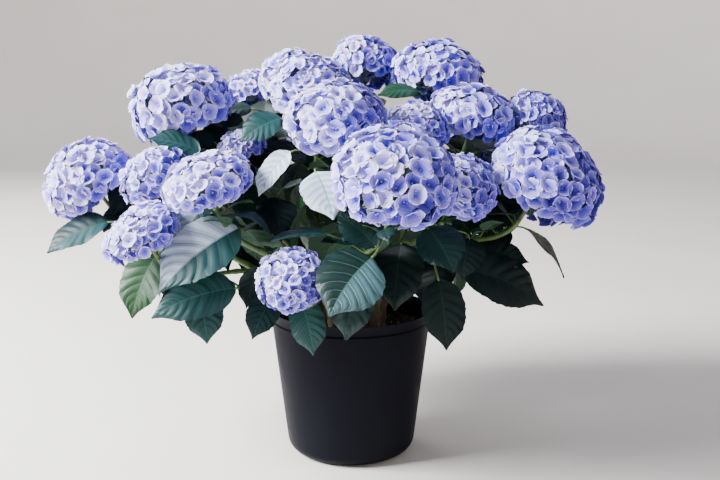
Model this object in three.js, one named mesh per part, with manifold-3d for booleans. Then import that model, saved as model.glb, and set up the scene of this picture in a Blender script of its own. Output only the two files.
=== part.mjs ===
// A mophead hydrangea in a black nursery pot, as one assembly of separate solids.
// The frame is +Z up, with the origin at the centre of the pot's flat underside.
// Lengths are millimetres and angles are degrees. An azimuth is counted from +X towards +Y,
// so -90 is the front of the plant.
import * as THREE from "three";
import { ConvexGeometry } from "three/addons/geometries/ConvexGeometry.js";
import { mergeVertices } from "three/addons/utils/BufferGeometryUtils.js";
import Module from "manifold-3d";

const wasm = await Module();
wasm.setup();

// Driving dimensions

const POT = {
  height: 225,
  rimRadius: 125,
  lipHeight: 16,
  lipProud: 3,
  footRadius: 99,
  footRounding: 20,
  wall: 2.5,
  sides: 40,
};
const SOIL = { top: 196, edgeDrop: 5, edgeWidth: 14 };
const CLEARANCE = 0.3;

const CANE = { crownRadius: 46, footRadius: 7, tipRadius: 4.6, flare: 1.3, sides: 6, steps: 5 };
const FORK = { outShare: 0.3, upShare: 0.5 };
const SHOOT = { footRadius: 4.6, sideFootRadius: 4, tipRadius: 3.2, sides: 3, steps: 6, firstFork: 9 };
const STALK = { length: 22, radius: 3, sides: 4, sunk: 14 };

// The blooms face away from a point in the heart of the plant, and lift a little towards the sky,
// the flatter ones more.
const HEART_HEIGHT = 230;
const BLOOM = {
  flatness: 0.8,
  hollow: 0.3,
  lift: 0.8,
  floretsPerMm: 0.115,
  petalReach: 17,
  eye: 0.9,
  groove: 0.8,
};

const LEAF = {
  collarLength: 104,
  lowerLength: 128,
  widthShare: 0.7,
  petioleShare: 0.26,
  petioleRadius: 1.9,
  rootRadius: 1.2,
  sunk: 0.5,
  thickness: 1.5,
  foldDeg: 6,
  rollDeg: 14,
  bendDeg: 30,
  pairs: 6,
  firstNode: 12,
  internode: 42,
  bareFoot: 25,
  outward: 0.55,
  climb: 0.5,
  lowest: 222,
  lowestInFront: 290,
  lowestAtSides: 325,
};
// A leaf that is in the way tries other places: degrees down, degrees sideways, and its size.
const LEAF_TRIES = [1, 0.78, 0.6].flatMap((size) => [
  [0, 0, size],
  [16, 0, size],
  [-14, 0, size],
  [32, 0, size],
  [6, 28, size],
  [6, -28, size],
  [28, 28, size],
  [28, -28, size],
  [50, 0, size],
  [-10, 55, size],
  [-10, -55, size],
  [22, 55, size],
  [22, -55, size],
  [-28, 0, size],
]);
const LEAF_APART = 14;
// Where the photo was taken from, and how far beside a line of sight a leaf has to stay.
const VIEWPOINT = new THREE.Vector3(14, -1500, 606);
const SIGHT_WIDTH = 26;

// The leaves that can be told apart in the photo: where the blade starts, where its tip is,
// its width as a share of its length, and how far it rolls about its midrib.
const SEEN_LEAVES = [
  [[30, -230, 350], [-25, -285, 285], 0.84, -40],
  [[35, -215, 360], [-20, -190, 400], 0.6, -50],
  [[-45, -175, 455], [-20, -235, 400], 0.72, 15],
  [[-82, -142, 478], [-122, -168, 420], 0.5, -25],
  [[-30, -170, 370], [-105, -200, 365], 0.55, -5],
  [[-152, -152, 374], [-250, -215, 300], 0.6, -38],
  [[-200, -122, 403], [-233, -152, 350], 0.6, -40],
  [[-270, -115, 335], [-305, -145, 245], 0.62, -35],
  [[-360, -33, 364], [-450, -48, 320], 0.68, -28],
  [[-160, -130, 285], [-275, -160, 250], 0.52, -55],
  [[-214, -120, 282], [-200, -150, 209], 0.68, 15],
  [[-105, -125, 275], [-135, -165, 220], 0.6, -35],
  [[-128, -105, 312], [-146, -140, 258], 0.6, -10],
  [[-70, -150, 275], [-50, -175, 200], 0.6, 25],
  [[22, -118, 300], [-8, -165, 220], 0.85, 10],
  [[105, -185, 380], [135, -235, 330], 0.8, 25],
  [[125, -120, 295], [135, -150, 200], 0.6, 15],
  [[160, -90, 305], [285, -70, 245], 0.55, 55],
  [[185, -60, 315], [265, -50, 305], 0.55, 55],
  [[260, -40, 355], [320, -40, 280], 0.5, 12],
  [[-205, 5, 480], [-255, 0, 476], 0.7, -45],
  [[-115, 65, 506], [-170, 60, 494], 0.7, -50],
  [[110, 120, 550], [40, 100, 545], 0.5, -35],
  [[-220, -44, 468], [-294, -50, 488], 0.5, -45],
  [[-168, 62, 508], [-212, 55, 500], 0.6, -50],
  [[-200, 70, 472], [-245, 35, 440], 0.7, -25],
  [[-159, 110, 524], [-231, 100, 506], 0.7, -25],
  [[-78, 80, 460], [-132, 20, 447], 0.7, -25],
  [[-335, 22, 384], [-375, -12, 345], 0.7, -20],
  [[-190, 82, 490], [-240, 50, 456], 0.7, -50],
  [[-101, -20, 516], [-160, -45, 483], 0.65, -45],
  [[73, -90, 342], [62, -130, 252], 0.8, 10],
  [[141, -50, 318], [108, -96, 246], 0.85, 10],
  [[171, -95, 350], [158, -125, 296], 0.85, -10],
  [[232, -20, 352], [204, -45, 305], 0.8, -10],
];

// One row for each bloom: its name, azimuth, reach from the pot's axis, height and diameter, and
// its flatness where that differs from most.
const CANES = [
  {
    name: "front",
    azimuth: -86,
    shoots: [
      ["front_centre", -77, 256, 457, 164, 0.7],
      ["upper_centre", -101, 112, 519, 142, 0.72],
      ["front_low", -109, 233, 316, 94],
    ],
  },
  {
    name: "front_right",
    azimuth: -42,
    shoots: [
      ["front_right", -41, 196, 427, 114],
      ["mid_right", -32, 113, 504, 92],
    ],
  },
  {
    name: "right",
    azimuth: -6,
    shoots: [
      ["right", -16, 291, 433, 166],
      ["right_upper", 6, 187, 515, 148, 0.6],
    ],
  },
  {
    name: "back_right",
    azimuth: 30,
    shoots: [
      ["back_right", 26, 336, 506, 106],
      ["rear_right", 47, 329, 470, 138],
      ["rear_right_low", 31, 364, 375, 124],
    ],
  },
  {
    name: "back",
    azimuth: 66,
    shoots: [
      ["back_right_top", 50, 225, 573, 152, 0.7],
      ["rear_mid_right", 72, 305, 430, 142],
      ["back_top", 85, 262, 588, 126],
    ],
  },
  {
    name: "back_left",
    azimuth: 103,
    shoots: [
      ["back_left_top", 120, 197, 570, 114],
      ["rear_mid_left", 100, 284, 470, 138],
      ["rear_low", 101, 325, 345, 118],
    ],
  },
  {
    name: "rear_left",
    azimuth: 138,
    shoots: [
      ["back_left_small", 125, 306, 545, 88],
      ["rear_left", 133, 347, 395, 140],
      ["rear_side_left", 155, 358, 398, 118],
    ],
  },
  {
    name: "left",
    azimuth: 172,
    shoots: [
      ["left", 176, 402, 418, 146],
      ["left_upper", 173, 258, 530, 158],
    ],
  },
  {
    name: "left_front",
    azimuth: -158,
    shoots: [
      ["left_mid", -170, 287, 432, 104],
      ["left_low", -150, 326, 370, 108, 0.55],
    ],
  },
  {
    name: "front_left",
    azimuth: -124,
    shoots: [["front_left", -138, 257, 440, 126, 0.5]],
  },
];
// The one cane that stands in the middle of the pot.
const MIDDLE_CANE = {
  name: "middle",
  azimuth: 170,
  crownRadius: 6,
  shoots: [
    ["top_left", 157, 65, 556, 124],
    ["inner_left", 180, 164, 471, 70],
  ],
};

// Small helpers

const UP = new THREE.Vector3(0, 0, 1);
const radians = THREE.MathUtils.degToRad;

function heading(azimuth) {
  return new THREE.Vector3(Math.cos(radians(azimuth)), Math.sin(radians(azimuth)), 0);
}

function polar(azimuth, reach, height) {
  return heading(azimuth).multiplyScalar(reach).setZ(height);
}

// a + b * scale, as a new vector
function offset(a, b, scale) {
  return a.clone().addScaledVector(b, scale);
}

// A seeded row of numbers from 0 to 1, the same on every run.
function makeRandom(seed) {
  let state = seed;
  return () => {
    state = (state * 16807) % 2147483647;
    return state / 2147483647;
  };
}

// Two directions square to an axis: the first is level.
function squareTo(axis) {
  const level = new THREE.Vector3().crossVectors(UP, axis);
  if (level.length() < 1e-3) level.set(1, 0, 0);
  level.normalize();
  return [level, new THREE.Vector3().crossVectors(axis, level).normalize()];
}

// A closed skin over rings of equally many points. A tip closes it to a point.
function loft(rings, tip) {
  const sides = rings[0].length;
  const points = rings.flat();
  const faces = [];
  rings.slice(1).forEach((_, r) => {
    for (let s = 0; s < sides; s++) {
      const a = r * sides + s;
      const b = r * sides + ((s + 1) % sides);
      faces.push(a, b, b + sides, a, b + sides, a + sides);
    }
  });
  for (let s = 1; s < sides - 1; s++) faces.push(0, s + 1, s);
  const last = (rings.length - 1) * sides;
  if (tip) {
    points.push(tip);
    for (let s = 0; s < sides; s++) faces.push(last + s, last + ((s + 1) % sides), points.length - 1);
  } else {
    for (let s = 1; s < sides - 1; s++) faces.push(last, last + s, last + s + 1);
  }
  return new THREE.BufferGeometry().setFromPoints(points).setIndex(faces);
}

// A tapering limb along a curve, with square-cut ends.
function limb(curve, sides, steps, radiusAt) {
  const frames = curve.computeFrenetFrames(steps, false);
  const rings = [];
  for (let i = 0; i <= steps; i++) {
    const centre = curve.getPointAt(i / steps);
    rings.push(
      Array.from({ length: sides }, (_, s) => {
        const turn = (2 * Math.PI * s) / sides;
        const out = frames.normals[i].clone().multiplyScalar(Math.cos(turn));
        return offset(centre, offset(out, frames.binormals[i], Math.sin(turn)), radiusAt(i / steps));
      }),
    );
  }
  return loft(rings);
}

function solidOf(geometry) {
  const bare = new THREE.BufferGeometry().setAttribute("position", geometry.getAttribute("position"));
  if (geometry.index) bare.setIndex(geometry.index);
  const merged = mergeVertices(bare, 1e-4);
  return new wasm.Manifold(
    new wasm.Mesh({
      numProp: 3,
      vertProperties: merged.getAttribute("position").array,
      triVerts: new Uint32Array(merged.index.array),
    }),
  );
}

function geometryOf(solid) {
  const mesh = solid.getMesh();
  const geometry = new THREE.BufferGeometry();
  geometry.setAttribute("position", new THREE.BufferAttribute(mesh.vertProperties, mesh.numProp));
  geometry.setIndex(new THREE.BufferAttribute(mesh.triVerts, 1));
  geometry.computeVertexNormals();
  return geometry;
}

const touches = (a, b) => a.intersect(b).volume() > 0;

function nearest(items, distance) {
  return items.reduce((best, item) => (distance(item) < distance(best) ? item : best));
}

// The assembly: every solid goes in by name, so that a later one can be kept clear of it.

const plant = new THREE.Group();
const placed = new Map();
const MATERIALS = {
  pot: new THREE.MeshStandardMaterial({ color: 0x17171b, roughness: 0.55, metalness: 0 }),
  soil: new THREE.MeshStandardMaterial({ color: 0x2b1d14, roughness: 0.95, metalness: 0 }),
  bark: new THREE.MeshStandardMaterial({ color: 0x6f6440, roughness: 0.8, metalness: 0 }),
  petal: new THREE.MeshStandardMaterial({ color: 0x8f8fe0, roughness: 0.6, metalness: 0, flatShading: true }),
  leaf: new THREE.MeshStandardMaterial({ color: 0x1f4a35, roughness: 0.5, metalness: 0, flatShading: true }),
};

function place(name, solid, material) {
  placed.set(name, solid);
  const mesh = new THREE.Mesh(geometryOf(solid), material);
  mesh.name = name;
  plant.add(mesh);
}

// The pot: a tapered shell with a rounded foot and a lip, turned about +Z.

const lipFoot = POT.height - POT.lipHeight;
const taper = (POT.rimRadius - POT.lipProud - POT.footRadius) / (lipFoot - POT.footRounding);
const outerRadiusAt = (z) => POT.footRadius + taper * (z - POT.footRounding);
const innerRadiusAt = (z) => outerRadiusAt(z) - POT.wall;

function turned(profile, sides) {
  const geometry = new THREE.LatheGeometry(
    profile.map(([r, z]) => new THREE.Vector2(r, z)),
    sides,
  );
  return solidOf(geometry.rotateX(Math.PI / 2));
}

function potSolid() {
  const corner = [0, 30, 60, 90].map((angle) => [
    POT.footRadius - POT.footRounding * (1 - Math.sin(radians(angle))),
    POT.footRounding * (1 - Math.cos(radians(angle))),
  ]);
  const floor = POT.wall;
  return turned(
    [
      [0, 0],
      ...corner,
      [outerRadiusAt(lipFoot), lipFoot],
      [POT.rimRadius, lipFoot + POT.lipProud],
      [POT.rimRadius, POT.height],
      [innerRadiusAt(POT.height), POT.height],
      [innerRadiusAt(POT.footRounding), POT.footRounding],
      [POT.footRadius - POT.footRounding, floor],
      [0, floor],
    ],
    POT.sides,
  );
}

function soilSolid() {
  const floor = POT.wall + CLEARANCE;
  const wallClear = (z) => (innerRadiusAt(z) - CLEARANCE) * Math.cos(Math.PI / POT.sides);
  const edge = SOIL.top - SOIL.edgeDrop;
  return turned(
    [
      [0, floor],
      [POT.footRadius - POT.footRounding - 2, floor],
      [wallClear(POT.footRounding) - 1, POT.footRounding + 1],
      [wallClear(edge) - 1, edge],
      [wallClear(edge) - SOIL.edgeWidth, SOIL.top],
      [0, SOIL.top],
    ],
    POT.sides,
  );
}

// The blooms: where each one is, which way it faces, and where its stalk starts.

function bloomPlan([name, azimuth, reach, height, diameter, flatness = BLOOM.flatness]) {
  const centre = polar(azimuth, reach, height);
  const lift = (BLOOM.lift * BLOOM.flatness) / flatness;
  const axis = offset(centre, UP, -HEART_HEIGHT).normalize().addScaledVector(UP, lift).normalize();
  const radius = diameter / 2;
  const underside = radius * flatness * (1 - BLOOM.hollow);
  const stalkFoot = offset(centre, axis, -(underside + STALK.length));
  return { name, centre, axis, radius, flatness, stalkFoot };
}

// Points spread evenly over a ball, one for each floret.
function spread(count) {
  return Array.from({ length: count }, (_, i) => {
    const z = 1 - (2 * i + 1) / count;
    const ring = Math.sqrt(1 - z * z);
    const turn = i * radians(137.508);
    return new THREE.Vector3(ring * Math.cos(turn), ring * Math.sin(turn), z);
  });
}

// Where three florets meet there is a groove: the middle of each triangle between florets.
function groovesBetween(centres) {
  const corners = new ConvexGeometry(centres).getAttribute("position");
  const grooves = [];
  for (let i = 0; i < corners.count; i += 3) {
    const middle = new THREE.Vector3();
    for (let k = 0; k < 3; k++) middle.add(new THREE.Vector3().fromBufferAttribute(corners, i + k));
    grooves.push(middle.normalize());
  }
  return grooves;
}

// The four petal tips round a floret's eye.
function petalTips(eye, roll) {
  const [side, along] = squareTo(eye);
  return [0, 1, 2, 3].map((k) => {
    const turn = roll + (k * Math.PI) / 2;
    const out = offset(side.clone().multiplyScalar(Math.cos(turn)), along, Math.sin(turn));
    const reach = radians(BLOOM.petalReach);
    return offset(eye.clone().multiplyScalar(Math.cos(reach)), out, Math.sin(reach));
  });
}

// The underside is drawn in towards the stalk, as in a dome of florets.
function drawnIn(z) {
  return 1 - BLOOM.hollow * THREE.MathUtils.smoothstep(-z, 0.35, 1);
}

// A ball of florets. Each has a sunk eye, four raised petals, and grooves round it.
function bloomSolid(bloom, random) {
  const eyes = spread(Math.max(11, Math.round(2 * bloom.radius * BLOOM.floretsPerMm)));
  const relief = [
    ...eyes.map((point) => ({ point, share: BLOOM.eye })),
    ...eyes.flatMap((eye) => petalTips(eye, random() * Math.PI)).map((point) => ({ point, share: 1 })),
    ...groovesBetween(eyes).map((point) => ({ point, share: BLOOM.groove })),
  ];
  const ball = new ConvexGeometry(relief.map((spot) => spot.point));
  const corners = ball.getAttribute("position");
  const turn = new THREE.Quaternion().setFromUnitVectors(UP, bloom.axis);
  const corner = new THREE.Vector3();
  for (let i = 0; i < corners.count; i++) {
    corner.fromBufferAttribute(corners, i);
    const spot = nearest(relief, ({ point }) => point.distanceToSquared(corner));
    corner.multiplyScalar(bloom.radius * spot.share * drawnIn(corner.z));
    corner.z *= bloom.flatness;
    corner.applyQuaternion(turn).add(bloom.centre);
    corners.setXYZ(i, corner.x, corner.y, corner.z);
  }
  const stalk = new THREE.LineCurve3(
    bloom.stalkFoot,
    offset(bloom.stalkFoot, bloom.axis, STALK.length + STALK.sunk),
  );
  return solidOf(ball).add(solidOf(limb(stalk, STALK.sides, 1, () => STALK.radius)));
}

// Canes and shoots

function canePlan(cane) {
  const crown = polar(cane.azimuth, cane.crownRadius ?? CANE.crownRadius, SOIL.top + CLEARANCE);
  const blooms = cane.shoots.map(bloomPlan);
  const middle = new THREE.Vector3();
  blooms.forEach((bloom) => middle.addScaledVector(bloom.stalkFoot, 1 / blooms.length));
  const rise = middle.sub(crown);
  const share = new THREE.Vector3(FORK.outShare, FORK.outShare, FORK.upShare);
  const tip = crown.clone().add(rise.multiply(share));
  const knee = offset(crown, UP, (tip.z - crown.z) * 0.55);
  const curve = new THREE.QuadraticBezierCurve3(crown, knee, tip);
  return { name: cane.name, curve, tip, direction: curve.getTangent(1), blooms };
}

function caneRadius(t) {
  const base = THREE.MathUtils.lerp(CANE.footRadius, CANE.tipRadius, t);
  return t === 0 ? base * CANE.flare : base;
}

// A shoot that leaves in one direction, and comes in under its bloom along the bloom's axis.
function shootTo(bloom, start, direction) {
  const end = offset(bloom.stalkFoot, bloom.axis, -CLEARANCE);
  const pull = start.distanceTo(end) * 0.38;
  return new THREE.CubicBezierCurve3(
    start,
    offset(start, direction, pull),
    offset(end, bloom.axis, -pull),
    end,
  );
}

// The first shoot carries the cane on. The others leave its side, one after another.
function shootCurves({ tip, direction, blooms }) {
  const main = shootTo(blooms[0], offset(tip, direction, CLEARANCE), direction);
  const side = blooms.slice(1).map((bloom, i) => {
    const at = (SHOOT.firstFork * (i + 1)) / main.getLength();
    return shootTo(bloom, main.getPointAt(at), main.getTangentAt(at));
  });
  return [main, ...side];
}

// A point inside the faceted limb that stands for a shoot.
function insideShoot(curve, share) {
  const step = Math.min(Math.floor(share * SHOOT.steps), SHOOT.steps - 1);
  const from = curve.getPointAt(step / SHOOT.steps);
  return from.lerp(curve.getPointAt((step + 1) / SHOOT.steps), share * SHOOT.steps - step);
}

// Leaves

// Half the blade's width at a share t of its length: broad near the foot, drawn out at the tip.
function halfWidth(leaf, t) {
  const shape = (u) => u ** 0.5 * (1 - u) ** 0.68;
  const widest = 0.5 / (0.5 + 0.68);
  return (0.5 * leaf.widthShare * leaf.length * shape(t)) / shape(widest);
}

// The blade's midrib is an arc that starts at one pitch and bends down.
function leafFrame(leaf, t) {
  const out = heading(leaf.azimuth);
  const start = radians(leaf.pitch);
  const bend = radians(leaf.bend);
  const now = start - bend * t;
  const along = (leaf.length * (Math.sin(start) - Math.sin(now))) / bend;
  const rise = (leaf.length * (Math.cos(now) - Math.cos(start))) / bend;
  const middle = offset(offset(leaf.foot, out, along), UP, rise);
  const level = new THREE.Vector3().crossVectors(UP, out);
  const upright = offset(out.clone().multiplyScalar(-Math.sin(now)), UP, Math.cos(now));
  const roll = radians(leaf.roll);
  return {
    middle,
    side: offset(level.clone().multiplyScalar(Math.cos(roll)), upright, Math.sin(roll)),
    normal: offset(upright.clone().multiplyScalar(Math.cos(roll)), level, -Math.sin(roll)),
  };
}

// A point of the blade: across runs from -1 at one edge to 1 at the other.
function leafPoint(leaf, t, across) {
  const { middle, side, normal } = leafFrame(leaf, t);
  const out = halfWidth(leaf, t) * across;
  const fold = radians(LEAF.foldDeg);
  return offset(offset(middle, side, out * Math.cos(fold)), normal, Math.abs(out) * Math.sin(fold));
}

const LEAF_STATIONS = [0.1, 0.38, 0.72];
const LEAF_SPOTS = Array.from({ length: 23 }, (_, i) => i / 25);
const LEAF_PROBES = [
  [0.15, 0],
  [0.5, 0],
  [0.8, 0],
  [1, 0],
  [0.35, 1],
  [0.35, -1],
  [0.7, 1],
  [0.7, -1],
];

// The petiole is three-sided. The blade's top is flat between its edges, and its back is a low keel.
function leafSolid(leaf, spare = 0) {
  const petiole = leaf.foot.clone().sub(leaf.root).normalize();
  const side = new THREE.Vector3().crossVectors(UP, petiole).normalize();
  const top = new THREE.Vector3().crossVectors(petiole, side);
  const stem = (at, r) => [
    offset(offset(at, side, -0.87 * r), top, 0.5 * r),
    offset(at, top, -r),
    offset(offset(at, side, 0.87 * r), top, 0.5 * r),
  ];
  const blade = LEAF_STATIONS.map((t) => {
    const { middle, side: across, normal } = leafFrame(leaf, t);
    return [
      offset(offset(leafPoint(leaf, t, -1), across, -spare), normal, spare),
      offset(middle, normal, -LEAF.thickness - spare),
      offset(offset(leafPoint(leaf, t, 1), across, spare), normal, spare),
    ];
  });
  const sunk = offset(leaf.root, petiole, -LEAF.sunk);
  const rings = [stem(sunk, LEAF.rootRadius), stem(leaf.foot, LEAF.petioleRadius + spare), ...blade];
  return solidOf(loft(rings, leafFrame(leaf, 1 + spare / leaf.length).middle));
}

function inBloom(point, bloom) {
  const away = point.clone().sub(bloom.centre);
  const along = away.dot(bloom.axis);
  const across = away.lengthSq() - along * along;
  const radius = bloom.radius + 3;
  return across / radius ** 2 + along ** 2 / (radius * bloom.flatness) ** 2 < 1;
}

function inPot(point) {
  return point.z < POT.height + 6 && Math.hypot(point.x, point.y) < POT.rimRadius + 5;
}

// A leaf as it wishes to stand, changed by one of its tries.
function turnedLeaf(wish, [down, turn, size]) {
  const azimuth = wish.azimuth + turn;
  const length = wish.length * size;
  const direction = offset(heading(azimuth), wish.along, wish.climb).normalize();
  const foot = offset(wish.root, direction, length * LEAF.petioleShare);
  return { ...wish, azimuth, length, foot, pitch: wish.pitch - down };
}

const probesOf = (leaf) => LEAF_PROBES.map(([t, across]) => leafPoint(leaf, t, across));

// In front and at both sides the leaves seen in the photo hang lowest, and the others stay above them.
function lowestAt(point) {
  if (point.x < -330 || point.x > 230) return LEAF.lowestAtSides;
  return point.y < -40 ? LEAF.lowestInFront : LEAF.lowest;
}

// Whether one point stands before another, seen from where the photo was taken.
function hides(front, back) {
  const sight = new THREE.Line3(VIEWPOINT, back);
  const nearby = sight.closestPointToPoint(front, true, new THREE.Vector3());
  return nearby.distanceTo(front) < SIGHT_WIDTH && nearby.distanceTo(back) > 1;
}

// A leaf keeps clear of the pot, the blooms, the stems it doesn't grow on, and all other leaves.
// It doesn't hide a leaf that the photo shows either.
function isClear(leaf, blooms, solids, leaves) {
  const probes = probesOf(leaf);
  const isFree = (p) => p.z > lowestAt(p) && !inPot(p) && !blooms.some((bloom) => inBloom(p, bloom));
  if (!probes.every(isFree)) return false;
  const isBeside = (p, q) => p.distanceTo(q) < LEAF_APART;
  if (leaves.some((other) => other.probes.some((q) => probes.some((p) => isBeside(p, q))))) return false;
  const seen = leaves.filter((other) => other.isSeen);
  if (seen.some((other) => other.probes.some((q) => probes.some((p) => hides(p, q))))) return false;
  const room = leafSolid(leaf, CLEARANCE);
  const strangers = leaves.filter((other) => !other.root.equals(leaf.root));
  return ![...solids, ...strangers.map((other) => other.solid)].some((solid) => touches(solid, room));
}

// A leaf seen in the photo hangs from the nearest place on any shoot.
function seenLeaf([foot, tip, widthShare, roll], stems) {
  const start = new THREE.Vector3(...foot);
  const chord = new THREE.Vector3(...tip).sub(start);
  const bend = LEAF.bendDeg;
  const half = radians(bend / 2);
  const spots = stems.flatMap((stem) =>
    stem.curves.flatMap((curve) => LEAF_SPOTS.map((share) => ({ stem, root: insideShoot(curve, share) }))),
  );
  const spot = nearest(spots, ({ root }) => root.distanceTo(start));
  const leaf = {
    root: spot.root,
    foot: start,
    azimuth: THREE.MathUtils.radToDeg(Math.atan2(chord.y, chord.x)),
    pitch: THREE.MathUtils.radToDeg(Math.atan2(chord.z, Math.hypot(chord.x, chord.y))) + bend / 2,
    length: (chord.length() * half) / Math.sin(half),
    bend,
    roll,
    widthShare,
  };
  return { ...leaf, isSeen: true, stem: spot.stem, probes: probesOf(leaf), solid: leafSolid(leaf) };
}

// How the leaves of one shoot wish to stand: opposite pairs, each pair square to the one above.
function leafWishes(curve, random) {
  const wishes = [];
  const length = curve.getLength();
  const roll = random() * 180;
  let down = LEAF.firstNode;
  for (let pair = 0; pair < LEAF.pairs && down < length - LEAF.bareFoot; pair++) {
    const root = insideShoot(curve, 1 - down / length);
    const along = curve.getTangentAt(1 - down / length);
    const [level, upright] = squareTo(along);
    const spin = radians(roll + 90 * pair);
    const size = THREE.MathUtils.lerp(LEAF.collarLength, LEAF.lowerLength, Math.min(pair / 2, 1));
    for (const sign of [1, -1]) {
      const out = offset(level.clone().multiplyScalar(Math.cos(spin)), upright, Math.sin(spin));
      out.multiplyScalar(sign).addScaledVector(along, LEAF.outward);
      wishes.push({
        root,
        along,
        azimuth: THREE.MathUtils.radToDeg(Math.atan2(out.y, out.x)),
        climb: LEAF.climb,
        length: size * (0.88 + 0.24 * random()),
        pitch: 4 - 14 * Math.min(pair, 2) - 14 * random(),
        bend: 34 + 26 * random(),
        roll: LEAF.rollDeg * (2 * random() - 1),
        widthShare: LEAF.widthShare,
      });
    }
    down += LEAF.internode * (1 + 0.12 * pair);
  }
  return wishes;
}

// Assembly

place("pot", potSolid(), MATERIALS.pot);
place("soil", soilSolid(), MATERIALS.soil);

const plans = [...CANES, MIDDLE_CANE].map(canePlan);
const blooms = plans.flatMap((plan) => plan.blooms);

plans.forEach((plan) => {
  const solid = solidOf(limb(plan.curve, CANE.sides, CANE.steps, caneRadius));
  place("cane_" + plan.name, solid, MATERIALS.bark);
});
blooms.forEach((bloom, i) => {
  place("bloom_" + bloom.name, bloomSolid(bloom, makeRandom(101 + i)), MATERIALS.petal);
});

const stems = plans.map((plan) => {
  const curves = shootCurves(plan);
  const solids = curves.map((curve, i) => {
    const foot = i === 0 ? SHOOT.footRadius : SHOOT.sideFootRadius;
    const radiusAt = (t) => THREE.MathUtils.lerp(foot, SHOOT.tipRadius, t);
    return solidOf(limb(curve, SHOOT.sides, SHOOT.steps, radiusAt));
  });
  return { plan, curves, solid: solids.slice(1).reduce((all, shoot) => all.add(shoot), solids[0]) };
});

const leaves = SEEN_LEAVES.map((row) => seenLeaf(row, stems));
leaves.forEach((leaf) => {
  leaf.stem.solid = leaf.stem.solid.add(leaf.solid);
});

stems.forEach((stem, i) => {
  const random = makeRandom(11 + 7 * i);
  const solids = [...placed.values(), ...stems.filter((_, k) => k !== i).map((other) => other.solid)];
  stem.curves.flatMap((curve) => leafWishes(curve, random)).forEach((wish) => {
    const tries = LEAF_TRIES.map((turns) => turnedLeaf(wish, turns));
    const leaf = tries.find((standing) => isClear(standing, blooms, solids, leaves));
    if (!leaf) return;
    const solid = leafSolid(leaf);
    leaves.push({ ...leaf, stem, probes: probesOf(leaf), solid });
    stem.solid = stem.solid.add(solid);
  });
});
stems.forEach(({ plan, solid }) => place("foliage_" + plan.name, solid, MATERIALS.leaf));

export default plant;
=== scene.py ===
# %% [markdown]
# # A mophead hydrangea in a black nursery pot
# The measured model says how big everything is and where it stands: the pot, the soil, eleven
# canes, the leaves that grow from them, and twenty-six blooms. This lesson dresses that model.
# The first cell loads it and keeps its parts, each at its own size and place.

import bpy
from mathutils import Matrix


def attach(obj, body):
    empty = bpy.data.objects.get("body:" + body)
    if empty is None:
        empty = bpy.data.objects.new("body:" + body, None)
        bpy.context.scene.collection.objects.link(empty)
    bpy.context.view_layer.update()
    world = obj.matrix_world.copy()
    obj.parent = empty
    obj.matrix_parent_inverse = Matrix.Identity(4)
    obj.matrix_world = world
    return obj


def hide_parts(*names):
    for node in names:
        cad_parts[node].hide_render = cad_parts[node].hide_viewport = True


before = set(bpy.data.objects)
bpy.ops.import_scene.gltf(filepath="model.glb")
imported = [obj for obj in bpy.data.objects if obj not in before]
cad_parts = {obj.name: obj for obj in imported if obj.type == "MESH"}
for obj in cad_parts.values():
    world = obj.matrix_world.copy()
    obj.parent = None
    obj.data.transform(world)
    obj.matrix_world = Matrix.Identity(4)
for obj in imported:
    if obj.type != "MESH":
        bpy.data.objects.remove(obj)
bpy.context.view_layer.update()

# %% [markdown]
# ## Units and small helpers
# Blender works in metres, and the plant's own sizes are easier to read in millimetres. The plan
# of the plant is therefore drawn in millimetres, and each mesh is turned into metres when it is
# made. A plant looks natural when nothing repeats, so sizes and angles vary a little. They come
# from a seeded row of numbers, which gives the same plant on every run.

# %% Helpers for points and for seeded variation
import math

import bmesh
import bpy
import numpy as np
from mathutils import Vector

MM = 0.001
UP = np.array((0.0, 0.0, 1.0))


def seeded(seed):
    """A row of numbers that is the same on every run. Each draw lies between low and high."""
    state = [seed]

    def draw(low=0.0, high=1.0):
        state[0] = state[0] * 16807 % 2147483647
        return low + (high - low) * state[0] / 2147483647

    return draw


def unit(vector):
    return vector / np.linalg.norm(vector)


def heading(azimuth):
    """The level direction at an azimuth in degrees, counted from +X towards +Y."""
    return np.array((math.cos(math.radians(azimuth)), math.sin(math.radians(azimuth)), 0.0))


def polar(azimuth, reach, height):
    return heading(azimuth) * reach + UP * height


def square_to(axis):
    """Two directions square to an axis: the first is level."""
    level = np.cross(UP, axis)
    level = np.array((1.0, 0.0, 0.0)) if np.linalg.norm(level) < 1e-3 else unit(level)
    return level, unit(np.cross(axis, level))


print("a seeded row starts with", round(seeded(7)(), 4))

# %% [markdown]
# ## Camera, floor and light
# The photo was taken from a little above the blooms with a normal lens, looking down by ten
# degrees. A pale floor that curves up into a wall all round, as in a photo studio, keeps every
# side plain. The light is a large soft window high on the left, as it was that day, with only a
# weak one behind the plant, so that the hollows among the leaves stay dark.

# %% Camera
CAMERA_PLACE = (0.014, -1.5, 0.606)
CAMERA_TILT = 79.57

bpy.ops.object.camera_add(location=CAMERA_PLACE, rotation=(math.radians(CAMERA_TILT), 0, 0))
camera = bpy.context.object
camera.data.lens = 50
camera.data.sensor_width = 36
bpy.context.scene.camera = camera
print("camera at", CAMERA_PLACE, "m, lens", camera.data.lens, "mm")


# %% A finish is a material with its nodes
def new_finish(name, colour, roughness):
    """A material with one colour and one roughness to start from, and its node tree."""
    finish = bpy.data.materials.new(name)
    finish.use_nodes = True
    shader = finish.node_tree.nodes["Principled BSDF"]
    shader.inputs["Base Color"].default_value = (*colour, 1)
    shader.inputs["Roughness"].default_value = roughness
    return finish, finish.node_tree, shader


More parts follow.
